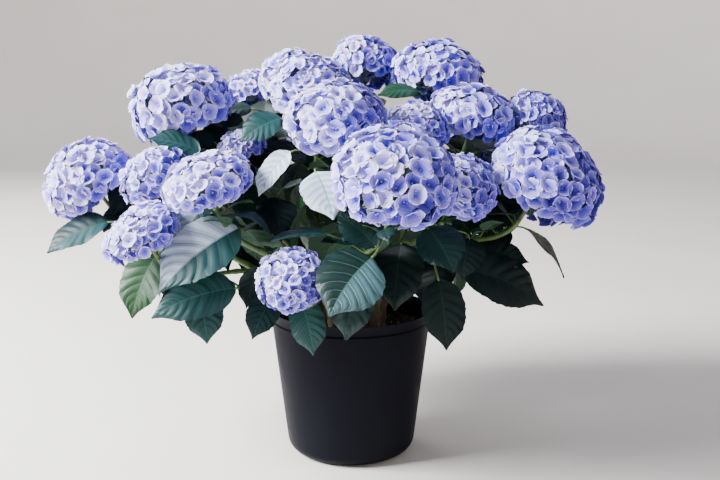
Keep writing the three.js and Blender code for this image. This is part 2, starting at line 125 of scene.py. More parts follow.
def pattern(tree, kind, stretch=(1, 1, 1), **settings):
    """A texture node that reads the piece's own coordinates, in metres."""
    place = tree.nodes.new("ShaderNodeTexCoord")
    mapping = tree.nodes.new("ShaderNodeMapping")
    mapping.inputs["Scale"].default_value = stretch
    texture = tree.nodes.new(kind)
    for setting, value in settings.items():
        texture.inputs[setting].default_value = value
    tree.links.new(place.outputs["Object"], mapping.inputs["Vector"])
    tree.links.new(mapping.outputs["Vector"], texture.inputs["Vector"])
    return texture


def spread_over(tree, source, low, high, start=0.3, end=0.7):
    """The source's values from start to end, spread over low to high."""
    node = tree.nodes.new("ShaderNodeMapRange")
    for socket, value in (("From Min", start), ("From Max", end), ("To Min", low), ("To Max", high)):
        node.inputs[socket].default_value = value
    tree.links.new(source, node.inputs["Value"])
    return node.outputs["Result"]


def mixed_colour(tree, share, first, second):
    """A colour between two others. Either may be a colour or another node's output."""
    node = tree.nodes.new("ShaderNodeMix")
    node.data_type = "RGBA"
    tree.links.new(share, node.inputs["Factor"])
    for socket, colour in ((node.inputs[6], first), (node.inputs[7], second)):
        if isinstance(colour, bpy.types.NodeSocket):
            tree.links.new(colour, socket)
        else:
            socket.default_value = (*colour, 1)
    return node.outputs[2]


def add_bump(tree, shader, height, depth, strength=1.0):
    """Relief from a pattern, at most depth metres deep, on top of any relief that is there."""
    bump = tree.nodes.new("ShaderNodeBump")
    bump.inputs["Strength"].default_value = strength
    bump.inputs["Distance"].default_value = depth
    if shader.inputs["Normal"].is_linked:
        tree.links.new(shader.inputs["Normal"].links[0].from_socket, bump.inputs["Normal"])
    tree.links.new(height, bump.inputs["Height"])
    tree.links.new(bump.outputs["Normal"], shader.inputs["Normal"])


print("finish helpers ready")

# %% Floor and studio wall
FLOOR_RADIUS = 4.5
WALL_CURVE = 1.6
WALL_HEIGHT = 2.2
WALL_STEPS = 8


def deselect_all():
    bpy.ops.object.select_all(action="DESELECT")


def floor_finish():
    finish, tree, shader = new_finish("studio floor", (0.82, 0.76, 0.70), 0.7)
    clouding = pattern(tree, "ShaderNodeTexNoise", Scale=3.0, Detail=5.0)
    colour = mixed_colour(tree, clouding.outputs["Fac"], (0.78, 0.72, 0.66), (0.86, 0.80, 0.74))
    tree.links.new(colour, shader.inputs["Base Color"])
    grain = pattern(tree, "ShaderNodeTexNoise", Scale=420.0, Detail=3.0)
    add_bump(tree, shader, grain.outputs["Fac"], 0.0006, 0.5)
    return finish


deselect_all()
bpy.ops.mesh.primitive_circle_add(vertices=96, radius=FLOOR_RADIUS, fill_type="NGON")
floor = bpy.context.object
floor.name = "studio_floor"
bpy.ops.object.mode_set(mode="EDIT")
bpy.ops.mesh.select_all(action="SELECT")
bpy.ops.mesh.select_mode(type="EDGE")
bpy.ops.mesh.region_to_loop()
radius = FLOOR_RADIUS
for step in range(WALL_STEPS + 1):
    turn = math.radians(90 * min(step + 1, WALL_STEPS) / WALL_STEPS)
    last = math.radians(90 * min(step, WALL_STEPS) / WALL_STEPS)
    rise = WALL_CURVE * (math.cos(last) - math.cos(turn)) if step < WALL_STEPS else WALL_HEIGHT
    grown = radius + WALL_CURVE * (math.sin(turn) - math.sin(last))
    bpy.ops.mesh.extrude_edges_move(TRANSFORM_OT_translate={"value": (0, 0, rise)})
    bpy.ops.transform.resize(value=(grown / radius, grown / radius, 1), center_override=(0, 0, 0))
    radius = grown
bpy.ops.mesh.select_all(action="SELECT")
bpy.ops.mesh.normals_make_consistent(inside=True)
bpy.ops.object.mode_set(mode="OBJECT")
bpy.ops.object.shade_smooth()
floor.data.materials.append(floor_finish())
wall_top = max(corner.co.z for corner in floor.data.vertices)
print("floor", round(2 * radius, 2), "m across, wall", round(wall_top, 2), "m high")

# %% Lights
PLANT_MIDDLE = Vector((0, 0, 0.38))


def window(name, place, size, power, colour):
    """A soft square light that faces the plant."""
    turn = (PLANT_MIDDLE - Vector(place)).to_track_quat("-Z", "Y").to_euler()
    bpy.ops.object.light_add(type="AREA", location=place, rotation=turn)
    light = bpy.context.object
    light.name = name
    light.data.size = size
    light.data.energy = power
    light.data.color = colour
    print(name, power, "W,", size, "m wide")


window("window_left", (-2.6, -0.6, 2.2), 1.5, 590, (0.93, 0.96, 1.0))
window("window_behind", (-1.7, 2.5, 2.1), 1.6, 60, (0.9, 0.95, 1.0))
sky = bpy.data.worlds.new("studio air")
sky.use_nodes = True
sky.node_tree.nodes["Background"].inputs["Color"].default_value = (0.7, 0.8, 1.0, 1)
sky.node_tree.nodes["Background"].inputs["Strength"].default_value = 0.36
bpy.context.scene.world = sky

# %% [markdown]
# ## The pot
# A nursery pot is one thin moulded wall that tapers towards a rounded foot, with a thicker lip
# for stiffness. It could be spun from a profile, but a cone that is cut, inset and bevelled is
# closer to how a modeller shapes it by hand: the foot is one bevel, the inside one inset and one
# extrusion, and the lip a band of faces that is pushed out.

# %% The pot's sizes, as in the measured model
POT_HEIGHT = 225
POT_RIM_RADIUS = 125
POT_LIP_HEIGHT = 16
POT_LIP_PROUD = 3
POT_FOOT_RADIUS = 99
POT_FOOT_ROUNDING = 20
POT_WALL = 2.5
POT_SIDES = 96

lip_foot = POT_HEIGHT - POT_LIP_HEIGHT
taper = (POT_RIM_RADIUS - POT_LIP_PROUD - POT_FOOT_RADIUS) / (lip_foot - POT_FOOT_ROUNDING)


def pot_radius(z):
    """The outer radius of the wall at a height, in millimetres."""
    return POT_FOOT_RADIUS + taper * (z - POT_FOOT_ROUNDING)


radii = [round(pot_radius(height), 1) for height in (0, POT_HEIGHT)]
print("pot radius at the foot and at the top:", radii, "mm")


# %% Model the pot
def select_only(piece, part, wanted):
    """In edit mode, selects just the faces or edges for which wanted is true."""
    bpy.ops.mesh.select_mode(type="FACE" if part == "faces" else "EDGE")
    bpy.ops.mesh.select_all(action="DESELECT")
    shape = bmesh.from_edit_mesh(piece.data)
    for item in getattr(shape, part):
        item.select_set(bool(wanted(item)))
    shape.select_flush(True)
    bmesh.update_edit_mesh(piece.data)


deselect_all()
bpy.ops.mesh.primitive_cone_add(
    vertices=POT_SIDES,
    radius1=pot_radius(0) * MM,
    radius2=pot_radius(POT_HEIGHT) * MM,
    depth=POT_HEIGHT * MM,
    location=(0, 0, POT_HEIGHT * MM / 2),
)
pot = bpy.context.object
pot.name = "nursery_pot"
bpy.ops.object.transform_apply(location=True)
bpy.ops.object.mode_set(mode="EDIT")
select_only(pot, "faces", lambda face: face.normal.z > 0.9)
bpy.ops.mesh.inset(thickness=POT_WALL * MM)
floor_share = (POT_FOOT_RADIUS - POT_FOOT_ROUNDING) / (pot_radius(POT_HEIGHT) - POT_WALL)
drop = (POT_WALL + POT_FOOT_ROUNDING - POT_HEIGHT) * MM
foot_share = (pot_radius(POT_FOOT_ROUNDING) - POT_WALL) / (pot_radius(POT_HEIGHT) - POT_WALL)
bpy.ops.mesh.extrude_region_move(TRANSFORM_OT_translate={"value": (0, 0, drop)})
bpy.ops.transform.resize(value=(foot_share, foot_share, 1))
bpy.ops.mesh.extrude_region_move(TRANSFORM_OT_translate={"value": (0, 0, -POT_FOOT_ROUNDING * MM)})
bpy.ops.transform.resize(value=(floor_share / foot_share, floor_share / foot_share, 1))
bpy.ops.mesh.select_all(action="SELECT")
bpy.ops.mesh.bisect(plane_co=(0, 0, lip_foot * MM), plane_no=(0, 0, 1))
print("pot wall:", len(pot.data.vertices), "corners before its foot and lip")

# %% Round the foot and push out the lip
LIP_PUSH = 2.2
EDGE_BEVEL = 1.6


def on_outside(point):
    """True for a point on the pot's outer wall."""
    return math.hypot(point.x, point.y) > (pot_radius(point.z / MM) - POT_WALL / 2) * MM


def is_foot_edge(edge):
    return all(v.co.z < MM and math.hypot(*v.co.xy) > (pot_radius(0) - POT_WALL) * MM for v in edge.verts)


select_only(pot, "edges", is_foot_edge)
bpy.ops.mesh.bevel(offset=POT_FOOT_ROUNDING * MM, segments=8, affect="EDGES")
select_only(
    pot,
    "faces",
    lambda face: abs(face.normal.z) < 0.5
    and all(on_outside(v.co) and v.co.z > (lip_foot - 1) * MM for v in face.verts),
)
bpy.ops.mesh.extrude_region_shrink_fatten(TRANSFORM_OT_shrink_fatten={"value": -LIP_PUSH * MM})
select_only(
    pot,
    "edges",
    lambda edge: len(edge.link_faces) == 2
    and edge.calc_face_angle(0) > math.radians(50)
    and min(v.co.z for v in edge.verts) > (lip_foot - 1) * MM,
)
bpy.ops.mesh.bevel(offset=EDGE_BEVEL * MM, segments=3, affect="EDGES")
bpy.ops.mesh.select_all(action="SELECT")
bpy.ops.mesh.normals_make_consistent(inside=False)
bpy.ops.object.mode_set(mode="OBJECT")
bpy.ops.object.shade_smooth_by_angle(angle=math.radians(40))
print("pot", [round(x, 3) for x in pot.dimensions], "m,", len(pot.data.polygons), "faces")


# %% [markdown]
# The plastic is black with a hint of blue, neither shiny nor quite matte. A pot that has stood
# outside carries a thin film of dust, most of it near the foot, and faint upright scuffs. Both
# are patterns that lighten the black a little and make it rougher.

# %% Black plastic
PLASTIC_BLACK = (0.0050, 0.0053, 0.0088)
SCUFFED_BLACK = (0.008, 0.009, 0.018)
DUSTY_BLACK = (0.011, 0.012, 0.015)
DUST_TOP = 0.09


def plastic_finish():
    finish, tree, shader = new_finish("black plastic", PLASTIC_BLACK, 0.45)
    shader.inputs["Specular IOR Level"].default_value = 0.035
    place = tree.nodes.new("ShaderNodeTexCoord")
    split = tree.nodes.new("ShaderNodeSeparateXYZ")
    tree.links.new(place.outputs["Object"], split.inputs["Vector"])
    low_part = spread_over(tree, split.outputs["Z"], 0.7, 0.0, 0.0, DUST_TOP)
    film = pattern(tree, "ShaderNodeTexNoise", Scale=14.0, Detail=6.0, Roughness=0.6)
    film_share = spread_over(tree, film.outputs["Fac"], 0.0, 0.5, 0.42, 0.8)
    dust = tree.nodes.new("ShaderNodeMath")
    dust.operation = "MULTIPLY_ADD"
    tree.links.new(low_part, dust.inputs[0])
    tree.links.new(film.outputs["Fac"], dust.inputs[1])
    tree.links.new(film_share, dust.inputs[2])
    scuffs = pattern(tree, "ShaderNodeTexNoise", (160, 160, 9), Scale=1.0, Detail=4.0)
    scuff_share = spread_over(tree, scuffs.outputs["Fac"], 0.0, 0.5, 0.62, 0.85)
    scuffed = mixed_colour(tree, scuff_share, PLASTIC_BLACK, SCUFFED_BLACK)
    dusty = spread_over(tree, dust.outputs[0], 0, 0.45, 0, 1)
    colour = mixed_colour(tree, dusty, scuffed, DUSTY_BLACK)
    tree.links.new(colour, shader.inputs["Base Color"])
    tree.links.new(spread_over(tree, film.outputs["Fac"], 0.36, 0.56), shader.inputs["Roughness"])
    peel = pattern(tree, "ShaderNodeTexNoise", Scale=900.0, Detail=2.0)
    add_bump(tree, shader, peel.outputs["Fac"], 0.0002, 0.35)
    add_bump(tree, shader, scuffs.outputs["Fac"], 0.0002, 0.4)
    return finish


def hand_in(piece, finishes, slot, *nodes):
    """Gives a finished piece its materials, its place in the part and the solids it stands for."""
    for finish in finishes:
        piece.data.materials.append(finish)
    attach(piece, "root")
    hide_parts(*nodes)


hand_in(pot, [plastic_finish()], "pot", "pot")
print("pot finished with", [m.name for m in pot.data.materials])

# %% [markdown]
# ## The soil
# Potting compost is a mound of crumbs that sinks a little at the wall. A disc is inset into
# rings and subdivided, then two displacements, one broad and one fine, make it lumpy. Loose
# crumbs, chips of bark and white grains of perlite lie on it. They are many and small, so they
# are made from arrays of corners and joined into one piece.

# %% Model the soil's surface
SOIL_TOP = 196
SOIL_EDGE_DROP = 5
SOIL_EDGE_WIDTH = 14
SOIL_DEPTH = 30
SOIL_FOOT_SHARE = 0.97
SOIL_GAP = 0.5
SOIL_RINGS = 13
MIDDLE_RINGS = 1.5

soil_radius = pot_radius(SOIL_TOP - SOIL_EDGE_DROP) - POT_WALL - SOIL_GAP
deselect_all()
bpy.ops.mesh.primitive_circle_add(
    vertices=POT_SIDES, radius=soil_radius * MM, fill_type="NGON", location=(0, 0, SOIL_TOP * MM)
)
soil = bpy.context.object
soil.name = "potting_soil"
bpy.ops.object.transform_apply(location=True)
bpy.ops.object.mode_set(mode="EDIT")
bpy.ops.mesh.select_mode(type="FACE")
bpy.ops.mesh.select_all(action="SELECT")
for ring in range(SOIL_RINGS):
    bpy.ops.mesh.inset(thickness=soil_radius * MM / (SOIL_RINGS + MIDDLE_RINGS))
bpy.ops.mesh.poke()
bpy.ops.mesh.select_all(action="SELECT")
bpy.ops.mesh.subdivide(number_cuts=1)
bpy.ops.object.mode_set(mode="OBJECT")
for corner in soil.data.vertices:
    edge = max(0.0, 1 - (soil_radius - math.hypot(*corner.co.xy) / MM) / SOIL_EDGE_WIDTH)
    corner.co.z -= SOIL_EDGE_DROP * MM * edge * edge
print("soil disc", round(2 * soil_radius), "mm across,", len(soil.data.polygons), "faces")


# %% Make it lumpy and give it a skirt
def displace(piece, name, kind, size, strength):
    """Moves the piece's surface in and out by a cloud pattern, and applies it."""
    texture = bpy.data.textures.new(name, type=kind)
    texture.noise_scale = size
    bpy.context.view_layer.objects.active = piece
    modifier = piece.modifiers.new(name, "DISPLACE")
    modifier.texture = texture
    modifier.texture_coords = "LOCAL"
    modifier.strength = strength
    modifier.mid_level = 0.5
    bpy.ops.object.modifier_apply(modifier=modifier.name)


deselect_all()
soil.select_set(True)
displace(soil, "broad lumps", "CLOUDS", 0.03, 0.006)
displace(soil, "fine crumbs", "CLOUDS", 0.006, 0.0035)
bpy.ops.object.mode_set(mode="EDIT")
bpy.ops.mesh.select_mode(type="EDGE")
bpy.ops.mesh.select_all(action="SELECT")
bpy.ops.mesh.region_to_loop()
bpy.ops.mesh.extrude_edges_move(TRANSFORM_OT_translate={"value": (0, 0, -SOIL_DEPTH * MM)})
bpy.ops.transform.resize(value=(SOIL_FOOT_SHARE, SOIL_FOOT_SHARE, 1), center_override=(0, 0, 0))
bpy.ops.mesh.select_all(action="SELECT")
bpy.ops.mesh.normals_make_consistent(inside=False)
bpy.ops.object.mode_set(mode="OBJECT")
if sum(face.normal.z for face in soil.data.polygons) < 0:
    soil.data.flip_normals()
bpy.ops.object.shade_smooth_by_angle(angle=math.radians(60))


def soil_finish():
    finish, tree, shader = new_finish("dark compost", (0.02, 0.012, 0.007), 0.95)
    clumps = pattern(tree, "ShaderNodeTexNoise", Scale=70.0, Detail=6.0, Roughness=0.7)
    share = spread_over(tree, clumps.outputs["Fac"], 0, 1, 0.35, 0.65)
    colour = mixed_colour(tree, share, (0.010, 0.006, 0.004), (0.045, 0.027, 0.016))
    tree.links.new(colour, shader.inputs["Base Color"])
    tree.links.new(spread_over(tree, clumps.outputs["Fac"], 0.8, 1.0), shader.inputs["Roughness"])
    crumbs = pattern(tree, "ShaderNodeTexNoise", Scale=400.0, Detail=4.0)
    add_bump(tree, shader, crumbs.outputs["Fac"], 0.0015, 0.8)
    return finish


hand_in(soil, [soil_finish()], "soil", "soil")
print("soil", [round(x, 3) for x in soil.dimensions], "m")


# %% [markdown]
# Many small things are gathered in a bunch: each adds its corners and its faces, under the name
# of the finish that they take. At the end the bunch becomes one mesh, which only keeps the
# finishes that it uses.

# %% A bunch of small shapes
class Bunch:
    """Gathers many small shapes, in millimetres, to be joined into one piece."""

    def __init__(self):
        self.corners, self.faces, self.names, self.count = [], [], [], 0

    def add(self, corners, faces, names):
        """Adds one shape. names is one finish for all its faces, or one for each face."""
        self.corners.append(np.asarray(corners, float).reshape(-1, 3))
        self.faces += [[self.count + corner for corner in face] for face in faces]
        self.names += [names] * len(faces) if isinstance(names, str) else list(names)
        self.count += len(self.corners[-1])

    def piece(self, name, finishes):
        """The joined mesh, and the materials that it uses."""
        used = sorted(set(self.names))
        mesh = bpy.data.meshes.new(name)
        mesh.from_pydata((np.concatenate(self.corners) * MM).tolist(), [], self.faces)
        mesh.polygons.foreach_set("material_index", [used.index(n) for n in self.names])
        mesh.polygons.foreach_set("use_smooth", [True] * len(self.faces))
        mesh.update()
        made = bpy.data.objects.new(name, mesh)
        bpy.context.scene.collection.objects.link(made)
        return made, [finishes[n] for n in used]


print("bunch ready")

# %% Crumbs, bark chips and perlite on the soil
CRUMB_COUNT = 520
CRUMB_SHAPE = np.array(((1, 0, 0), (-1, 0, 0), (0, 1, 0), (0, -1, 0), (0, 0, 1), (0, 0, -1)), float)
CRUMB_FACES = [
    (0, 2, 4), (2, 1, 4), (1, 3, 4), (3, 0, 4), (2, 0, 5), (1, 2, 5), (3, 1, 5), (0, 3, 5),
]  # fmt: skip
# Each kind's size in millimetres, and its shape as shares along, across and upright.
CRUMB_KINDS = {
    "peat crumb": (2.2, (1, 0.8, 0.7)),
    "bark chip": (5.0, (1, 0.5, 0.28)),
    "perlite": (1.6, (1, 0.9, 0.8)),
}
PEAT_SHARE = 0.62
BARK_SHARE = 0.22
CRUMB_SCALES = (0.5, 1.25)
CRUMB_BUMPS = (0.75, 1.2)
CRUMB_TILT = 0.4
CRUMB_MARGIN = 6
CRUMB_RAISED = 0.3


def crumb_kind(draw):
    share = draw()
    if share < PEAT_SHARE:
        return "peat crumb"
    return "bark chip" if share < PEAT_SHARE + BARK_SHARE else "perlite"


def grain_finish(name, dark, light, roughness):
    finish, tree, shader = new_finish(name, dark, roughness)
    grain = pattern(tree, "ShaderNodeTexNoise", (1, 1, 3), Scale=260.0, Detail=4.0)
    colour = mixed_colour(tree, spread_over(tree, grain.outputs["Fac"], 0, 1), dark, light)
    tree.links.new(colour, shader.inputs["Base Color"])
    add_bump(tree, shader, grain.outputs["Fac"], 0.0006, 0.7)
    return finish


CRUMB_FINISHES = {
    "peat crumb": grain_finish("peat crumb", (0.012, 0.007, 0.004), (0.05, 0.03, 0.018), 0.95),
    "bark chip": grain_finish("bark chip", (0.05, 0.024, 0.012), (0.15, 0.08, 0.04), 0.85),
    "perlite": grain_finish("perlite", (0.5, 0.48, 0.44), (0.78, 0.76, 0.72), 0.9),
}
draw = seeded(4242)
crumbs = Bunch()
for _ in range(CRUMB_COUNT):
    kind = crumb_kind(draw)
    size, flatness = CRUMB_KINDS[kind]
    reach = (soil_radius - CRUMB_MARGIN) * math.sqrt(draw())
    turn, tilt = draw(0, 360), draw(-CRUMB_TILT, CRUMB_TILT)
    along, across = heading(turn), heading(turn + 90)
    upright = unit(UP + along * tilt)
    scale = size * draw(*CRUMB_SCALES)
    axes = np.array((along * flatness[0], across * flatness[1], upright * flatness[2])) * scale
    bumps = np.array([[draw(*CRUMB_BUMPS)] for _ in CRUMB_SHAPE])
    sink = SOIL_EDGE_DROP * max(0.0, 1 - (soil_radius - reach) / SOIL_EDGE_WIDTH) ** 2
    spot = polar(draw(0, 360), reach, SOIL_TOP - sink + CRUMB_RAISED * scale)
    crumbs.add(spot + (CRUMB_SHAPE * bumps) @ axes, CRUMB_FACES, kind)
crumb_piece, crumb_finishes = crumbs.piece("soil_crumbs", CRUMB_FINISHES)
crumb_piece.data.polygons.foreach_set("use_smooth", [False] * len(crumb_piece.data.polygons))
hand_in(crumb_piece, crumb_finishes, "soil", "soil")
print(CRUMB_COUNT, "crumbs,", len(crumb_piece.data.polygons), "faces")

# %% [markdown]
# ## The plan of the plant
# The measured model grows the plant by a rule, and the same rule is written here again: each
# cane leaves the crown, bends outwards and forks into shoots, and each shoot comes in under its
# bloom along the bloom's own axis. One row says where a bloom is. All else follows from it.

# %% The blooms of each cane: name, azimuth, reach, height, diameter, and flatness if it differs
CANES = {
    "front": (-86, [
        ("front_centre", -77, 256, 457, 164, 0.7),
        ("upper_centre", -101, 112, 519, 142, 0.72),
        ("front_low", -109, 233, 316, 94),
    ]),
    "front_right": (-42, [("front_right", -41, 196, 427, 114), ("mid_right", -32, 113, 504, 92)]),
    "right": (-6, [("right", -16, 291, 433, 166), ("right_upper", 6, 187, 515, 148, 0.6)]),
    "back_right": (30, [
        ("back_right", 26, 336, 506, 106),
        ("rear_right", 47, 329, 470, 138),
        ("rear_right_low", 31, 364, 375, 124),
    ]),
    "back": (66, [
        ("back_right_top", 50, 225, 573, 152, 0.7),
        ("rear_mid_right", 72, 305, 430, 142),
        ("back_top", 85, 262, 588, 126),
    ]),
    "back_left": (103, [
        ("back_left_top", 120, 197, 570, 114),
        ("rear_mid_left", 100, 284, 470, 138),
        ("rear_low", 101, 325, 345, 118),
    ]),
    "rear_left": (138, [
        ("back_left_small", 125, 306, 545, 88),
        ("rear_left", 133, 347, 395, 140),
        ("rear_side_left", 155, 358, 398, 118),
    ]),
    "left": (172, [("left", 176, 402, 418, 146), ("left_upper", 173, 258, 530, 158)]),
    "left_front": (-158, [("left_mid", -170, 287, 432, 104), ("left_low", -150, 326, 370, 108, 0.55)]),
    "front_left": (-124, [("front_left", -138, 257, 440, 126, 0.5)]),
    "middle": (170, [("top_left", 157, 65, 556, 124), ("inner_left", 180, 164, 471, 70)]),
}  # fmt: skip
print(len(CANES), "canes carry", sum(len(rows) for _, rows in CANES.values()), "blooms")

# %% Curves that are measured along their length
CURVE_STEPS = 200
TANGENT_STEP = 0.0001


class Curve:
    """A Bezier curve of three or four points. Shares of its length find places on it."""

    def __init__(self, *points):
        self.points = np.array(points, float)
        self.steps = np.linspace(0, 1, CURVE_STEPS + 1)
        gaps = np.linalg.norm(np.diff(self.drawn(self.steps), axis=0), axis=1)
        self.lengths = np.concatenate(([0.0], np.cumsum(gaps)))
        self.length = self.lengths[-1]

    def drawn(self, t):
        degree = len(self.points) - 1
        t = np.asarray(t, float)[..., None]
        shares = [math.comb(degree, k) * (1 - t) ** (degree - k) * t**k for k in range(degree + 1)]
        return sum(share * point for share, point in zip(shares, self.points, strict=True))

    def along(self, share):
        return np.interp(np.asarray(share) * self.length, self.lengths, self.steps)

    def point(self, share):
        return self.drawn(self.along(share))

    def tangent(self, share):
        t = self.along(share)
        return unit(self.drawn(min(t + TANGENT_STEP, 1)) - self.drawn(max(t - TANGENT_STEP, 0)))


quarter_bend = Curve((0, 0, 0), (0, 0, 100), (100, 0, 100))
print("a quarter bend of 100 mm sides is", round(quarter_bend.length, 1), "mm long")

# %% Where the blooms, canes and shoots are
CLEARANCE = 0.3
CROWN_RADIUS = 46
MIDDLE_CROWN_RADIUS = 6
FORK_OUT = 0.3
FORK_UP = 0.5
FORK_STEP = 9
HEART_HEIGHT = 230
BLOOM_FLATNESS = 0.8
BLOOM_HOLLOW = 0.3
BLOOM_LIFT = 0.8
STALK_LENGTH = 22
CANE_PULL = 0.55
SHOOT_PULL = 0.38


class Bloom:
    """A flower head: its middle, the way it faces, its radius and the foot of its stalk."""

    def __init__(self, name, azimuth, reach, height, diameter, flatness=BLOOM_FLATNESS):
        self.name, self.radius, self.flatness = name, diameter / 2, flatness
        self.centre = polar(azimuth, reach, height)
        lift = BLOOM_LIFT * BLOOM_FLATNESS / flatness
        self.axis = unit(unit(self.centre - UP * HEART_HEIGHT) + UP * lift)
        self.underside = self.radius * flatness * (1 - BLOOM_HOLLOW)
        self.stalk_foot = self.centre - self.axis * (self.underside + STALK_LENGTH)


def shoot_to(bloom, start, direction):
    """A shoot that leaves in one direction, and comes in under its bloom along its axis."""
    end = bloom.stalk_foot - bloom.axis * CLEARANCE
    pull = np.linalg.norm(end - start) * SHOOT_PULL
    return Curve(start, start + direction * pull, end - bloom.axis * pull, end)


class Stem:
    """A cane with its blooms, and the shoots that carry them."""

    def __init__(self, name, azimuth, rows):
        self.name = name
        self.blooms = [Bloom(*row) for row in rows]
        radius = MIDDLE_CROWN_RADIUS if name == "middle" else CROWN_RADIUS
        crown = polar(azimuth, radius, SOIL_TOP + CLEARANCE)
        rise = np.mean([bloom.stalk_foot for bloom in self.blooms], axis=0) - crown
        tip = crown + rise * (FORK_OUT, FORK_OUT, FORK_UP)
        self.cane = Curve(crown, crown + UP * (tip[2] - crown[2]) * CANE_PULL, tip)
        direction = self.cane.tangent(1)
        main = shoot_to(self.blooms[0], tip + direction * CLEARANCE, direction)
        forks = [FORK_STEP * (i + 1) / main.length for i in range(len(self.blooms) - 1)]
        sides = [
            shoot_to(bloom, main.point(at), main.tangent(at))
            for bloom, at in zip(self.blooms[1:], forks, strict=True)
        ]
        self.shoots = [main, *sides]
        self.leaves = []


stems = [Stem(name, azimuth, rows) for name, (azimuth, rows) in CANES.items()]
blooms = [bloom for stem in stems for bloom in stem.blooms]
lengths = [round(shoot.length) for stem in stems for shoot in stem.shoots]
print("shoots are", min(lengths), "to", max(lengths), "mm long")

# %% [markdown]
# ## The canes
# A hydrangea's old wood is a thin brown cane with a swollen ring every few centimetres, where a
# pair of leaves once stood. Each cane is drawn as a curve whose thickness swells at those rings,
# turned into a mesh, and given its bark by two patterns that push the surface in and out. The
# bark has real relief this way, also along its outline.

# %% Model the canes
CANE_FOOT_RADIUS = 7
CANE_TIP_RADIUS = 4.6
CANE_RINGS = 60
RING_EVERY = 34
RING_SWELL = 0.24
RING_WIDTH = 5.0
FIRST_RING = 16
FOOT_FLARE = 0.3
FLARE_LENGTH = 8


def swelling(distance, every=RING_EVERY, start=FIRST_RING):
    """How much a stem swells at a distance along it: a soft ring at each pair of buds."""
    off = (distance - start + every / 2) % every - every / 2
    return math.exp(-((off / RING_WIDTH) ** 2))


def cane_piece(stem):
    """The curve with its thickness, as a mesh with bark relief."""
    drawing = bpy.data.curves.new("cane", "CURVE")
    drawing.dimensions = "3D"
    drawing.bevel_depth = MM
    drawing.bevel_resolution = 4
    drawing.use_fill_caps = True
    line = drawing.splines.new("POLY")
    line.points.add(CANE_RINGS)
    for i, spot in enumerate(line.points):
        share = i / CANE_RINGS
        radius = CANE_FOOT_RADIUS + (CANE_TIP_RADIUS - CANE_FOOT_RADIUS) * share
        flare = FOOT_FLARE * math.exp(-share * stem.cane.length / FLARE_LENGTH)
        spot.co = (*(stem.cane.point(share) * MM), 1)
        spot.radius = radius * (1 + flare + RING_SWELL * swelling(share * stem.cane.length))
    piece = bpy.data.objects.new("bark_" + stem.name, drawing)
    bpy.context.scene.collection.objects.link(piece)
    deselect_all()
    piece.select_set(True)
    bpy.context.view_layer.objects.active = piece
    bpy.ops.object.convert(target="MESH")
    displace(piece, "bark ridges", "CLOUDS", 0.004, 0.0016)
    displace(piece, "bark grain", "STUCCI", 0.0015, 0.0006)
    bpy.ops.object.shade_smooth()
    return piece


barks = [cane_piece(stem) for stem in stems]
print(len(barks), "canes,", sum(len(bark.data.polygons) for bark in barks), "faces")


# %% Bark
def bark_finish():
    """Grey-brown old wood with paler peeling strips and small dark pores."""
    finish, tree, shader = new_finish("cane bark", (0.12, 0.08, 0.045), 0.8)
    strips = pattern(tree, "ShaderNodeTexNoise", (1, 1, 0.16), Scale=320.0, Detail=5.0, Roughness=0.65)
    patches = pattern(tree, "ShaderNodeTexNoise", Scale=35.0, Detail=3.0)
    peeled = spread_over(tree, strips.outputs["Fac"], 0, 1)
    wood = mixed_colour(tree, peeled, (0.07, 0.042, 0.024), (0.26, 0.19, 0.12))
    mossy = spread_over(tree, patches.outputs["Fac"], 0, 0.6, 0.45, 0.7)
    green = mixed_colour(tree, mossy, wood, (0.16, 0.17, 0.06))
    pores = pattern(tree, "ShaderNodeTexVoronoi", (1, 1, 0.45), Scale=420.0)
    pitted = spread_over(tree, pores.outputs["Distance"], 0.75, 0, 0.05, 0.22)
    spotted = mixed_colour(tree, pitted, green, (0.04, 0.024, 0.015))
    tree.links.new(spotted, shader.inputs["Base Color"])
    tree.links.new(spread_over(tree, strips.outputs["Fac"], 0.65, 0.92), shader.inputs["Roughness"])
    add_bump(tree, shader, strips.outputs["Fac"], 0.0009, 0.9)
    return finish


bark = bark_finish()
for stem, piece in zip(stems, barks, strict=True):
    hand_in(piece, [bark], "bark", "cane_" + stem.name)
print("bark on", len(barks), "canes")

# %% [markdown]
# ## Where the leaves stand
# Hydrangea leaves stand in opposite pairs, each pair square to the one above. The measured model
# lets every leaf wish for a place by that rule, then turns it down or aside until it is clear of
# the blooms and of the other leaves. That long search isn't repeated here: the place that a leaf
# took is the one whose tip is a corner of the measured solid. The leaves that can be told apart
# in the photo come first, each with the look that it has there.

# %% The leaves' rule
LEAF_LENGTHS = (104, 128)
LEAF_WIDTH_SHARE = 0.7
LEAF_PETIOLE_SHARE = 0.26
LEAF_ROLL = 14
LEAF_SEEN_BEND = 30
LEAF_FOLD = 6
LEAF_PAIRS = 6
LEAF_FIRST_NODE = 12
LEAF_INTERNODE = 42
LEAF_BARE_FOOT = 25
LEAF_OUTWARD = 0.55
LEAF_CLIMB = 0.5
LEAF_LEAST_SIZE = 0.88
LEAF_SIZE_SPREAD = 0.24
LEAF_FIRST_PITCH = 4
LEAF_PITCH_STEP = 14
LEAF_LEAST_BEND = 34
LEAF_BEND_SPREAD = 26
LEAF_STRETCH = 0.12
LIMB_STEPS = 6

# How far a leaf turns down and aside from its wish, in degrees, in the order that it tries them.
TURNS = [
    (0, 0), (16, 0), (-14, 0), (32, 0), (6, 28), (6, -28), (28, 28),
    (28, -28), (50, 0), (-10, 55), (-10, -55), (22, 55), (22, -55), (-28, 0),
]  # fmt: skip
LEAF_TRIES = [(down, turn, size) for size in (1, 0.78, 0.6) for down, turn in TURNS]
TIP_MATCH = 0.1
USUAL_LENGTH = 115
FOOT_FULLNESS = 0.5
TIP_FULLNESS = 0.68
ROOT_SPOTS = 25


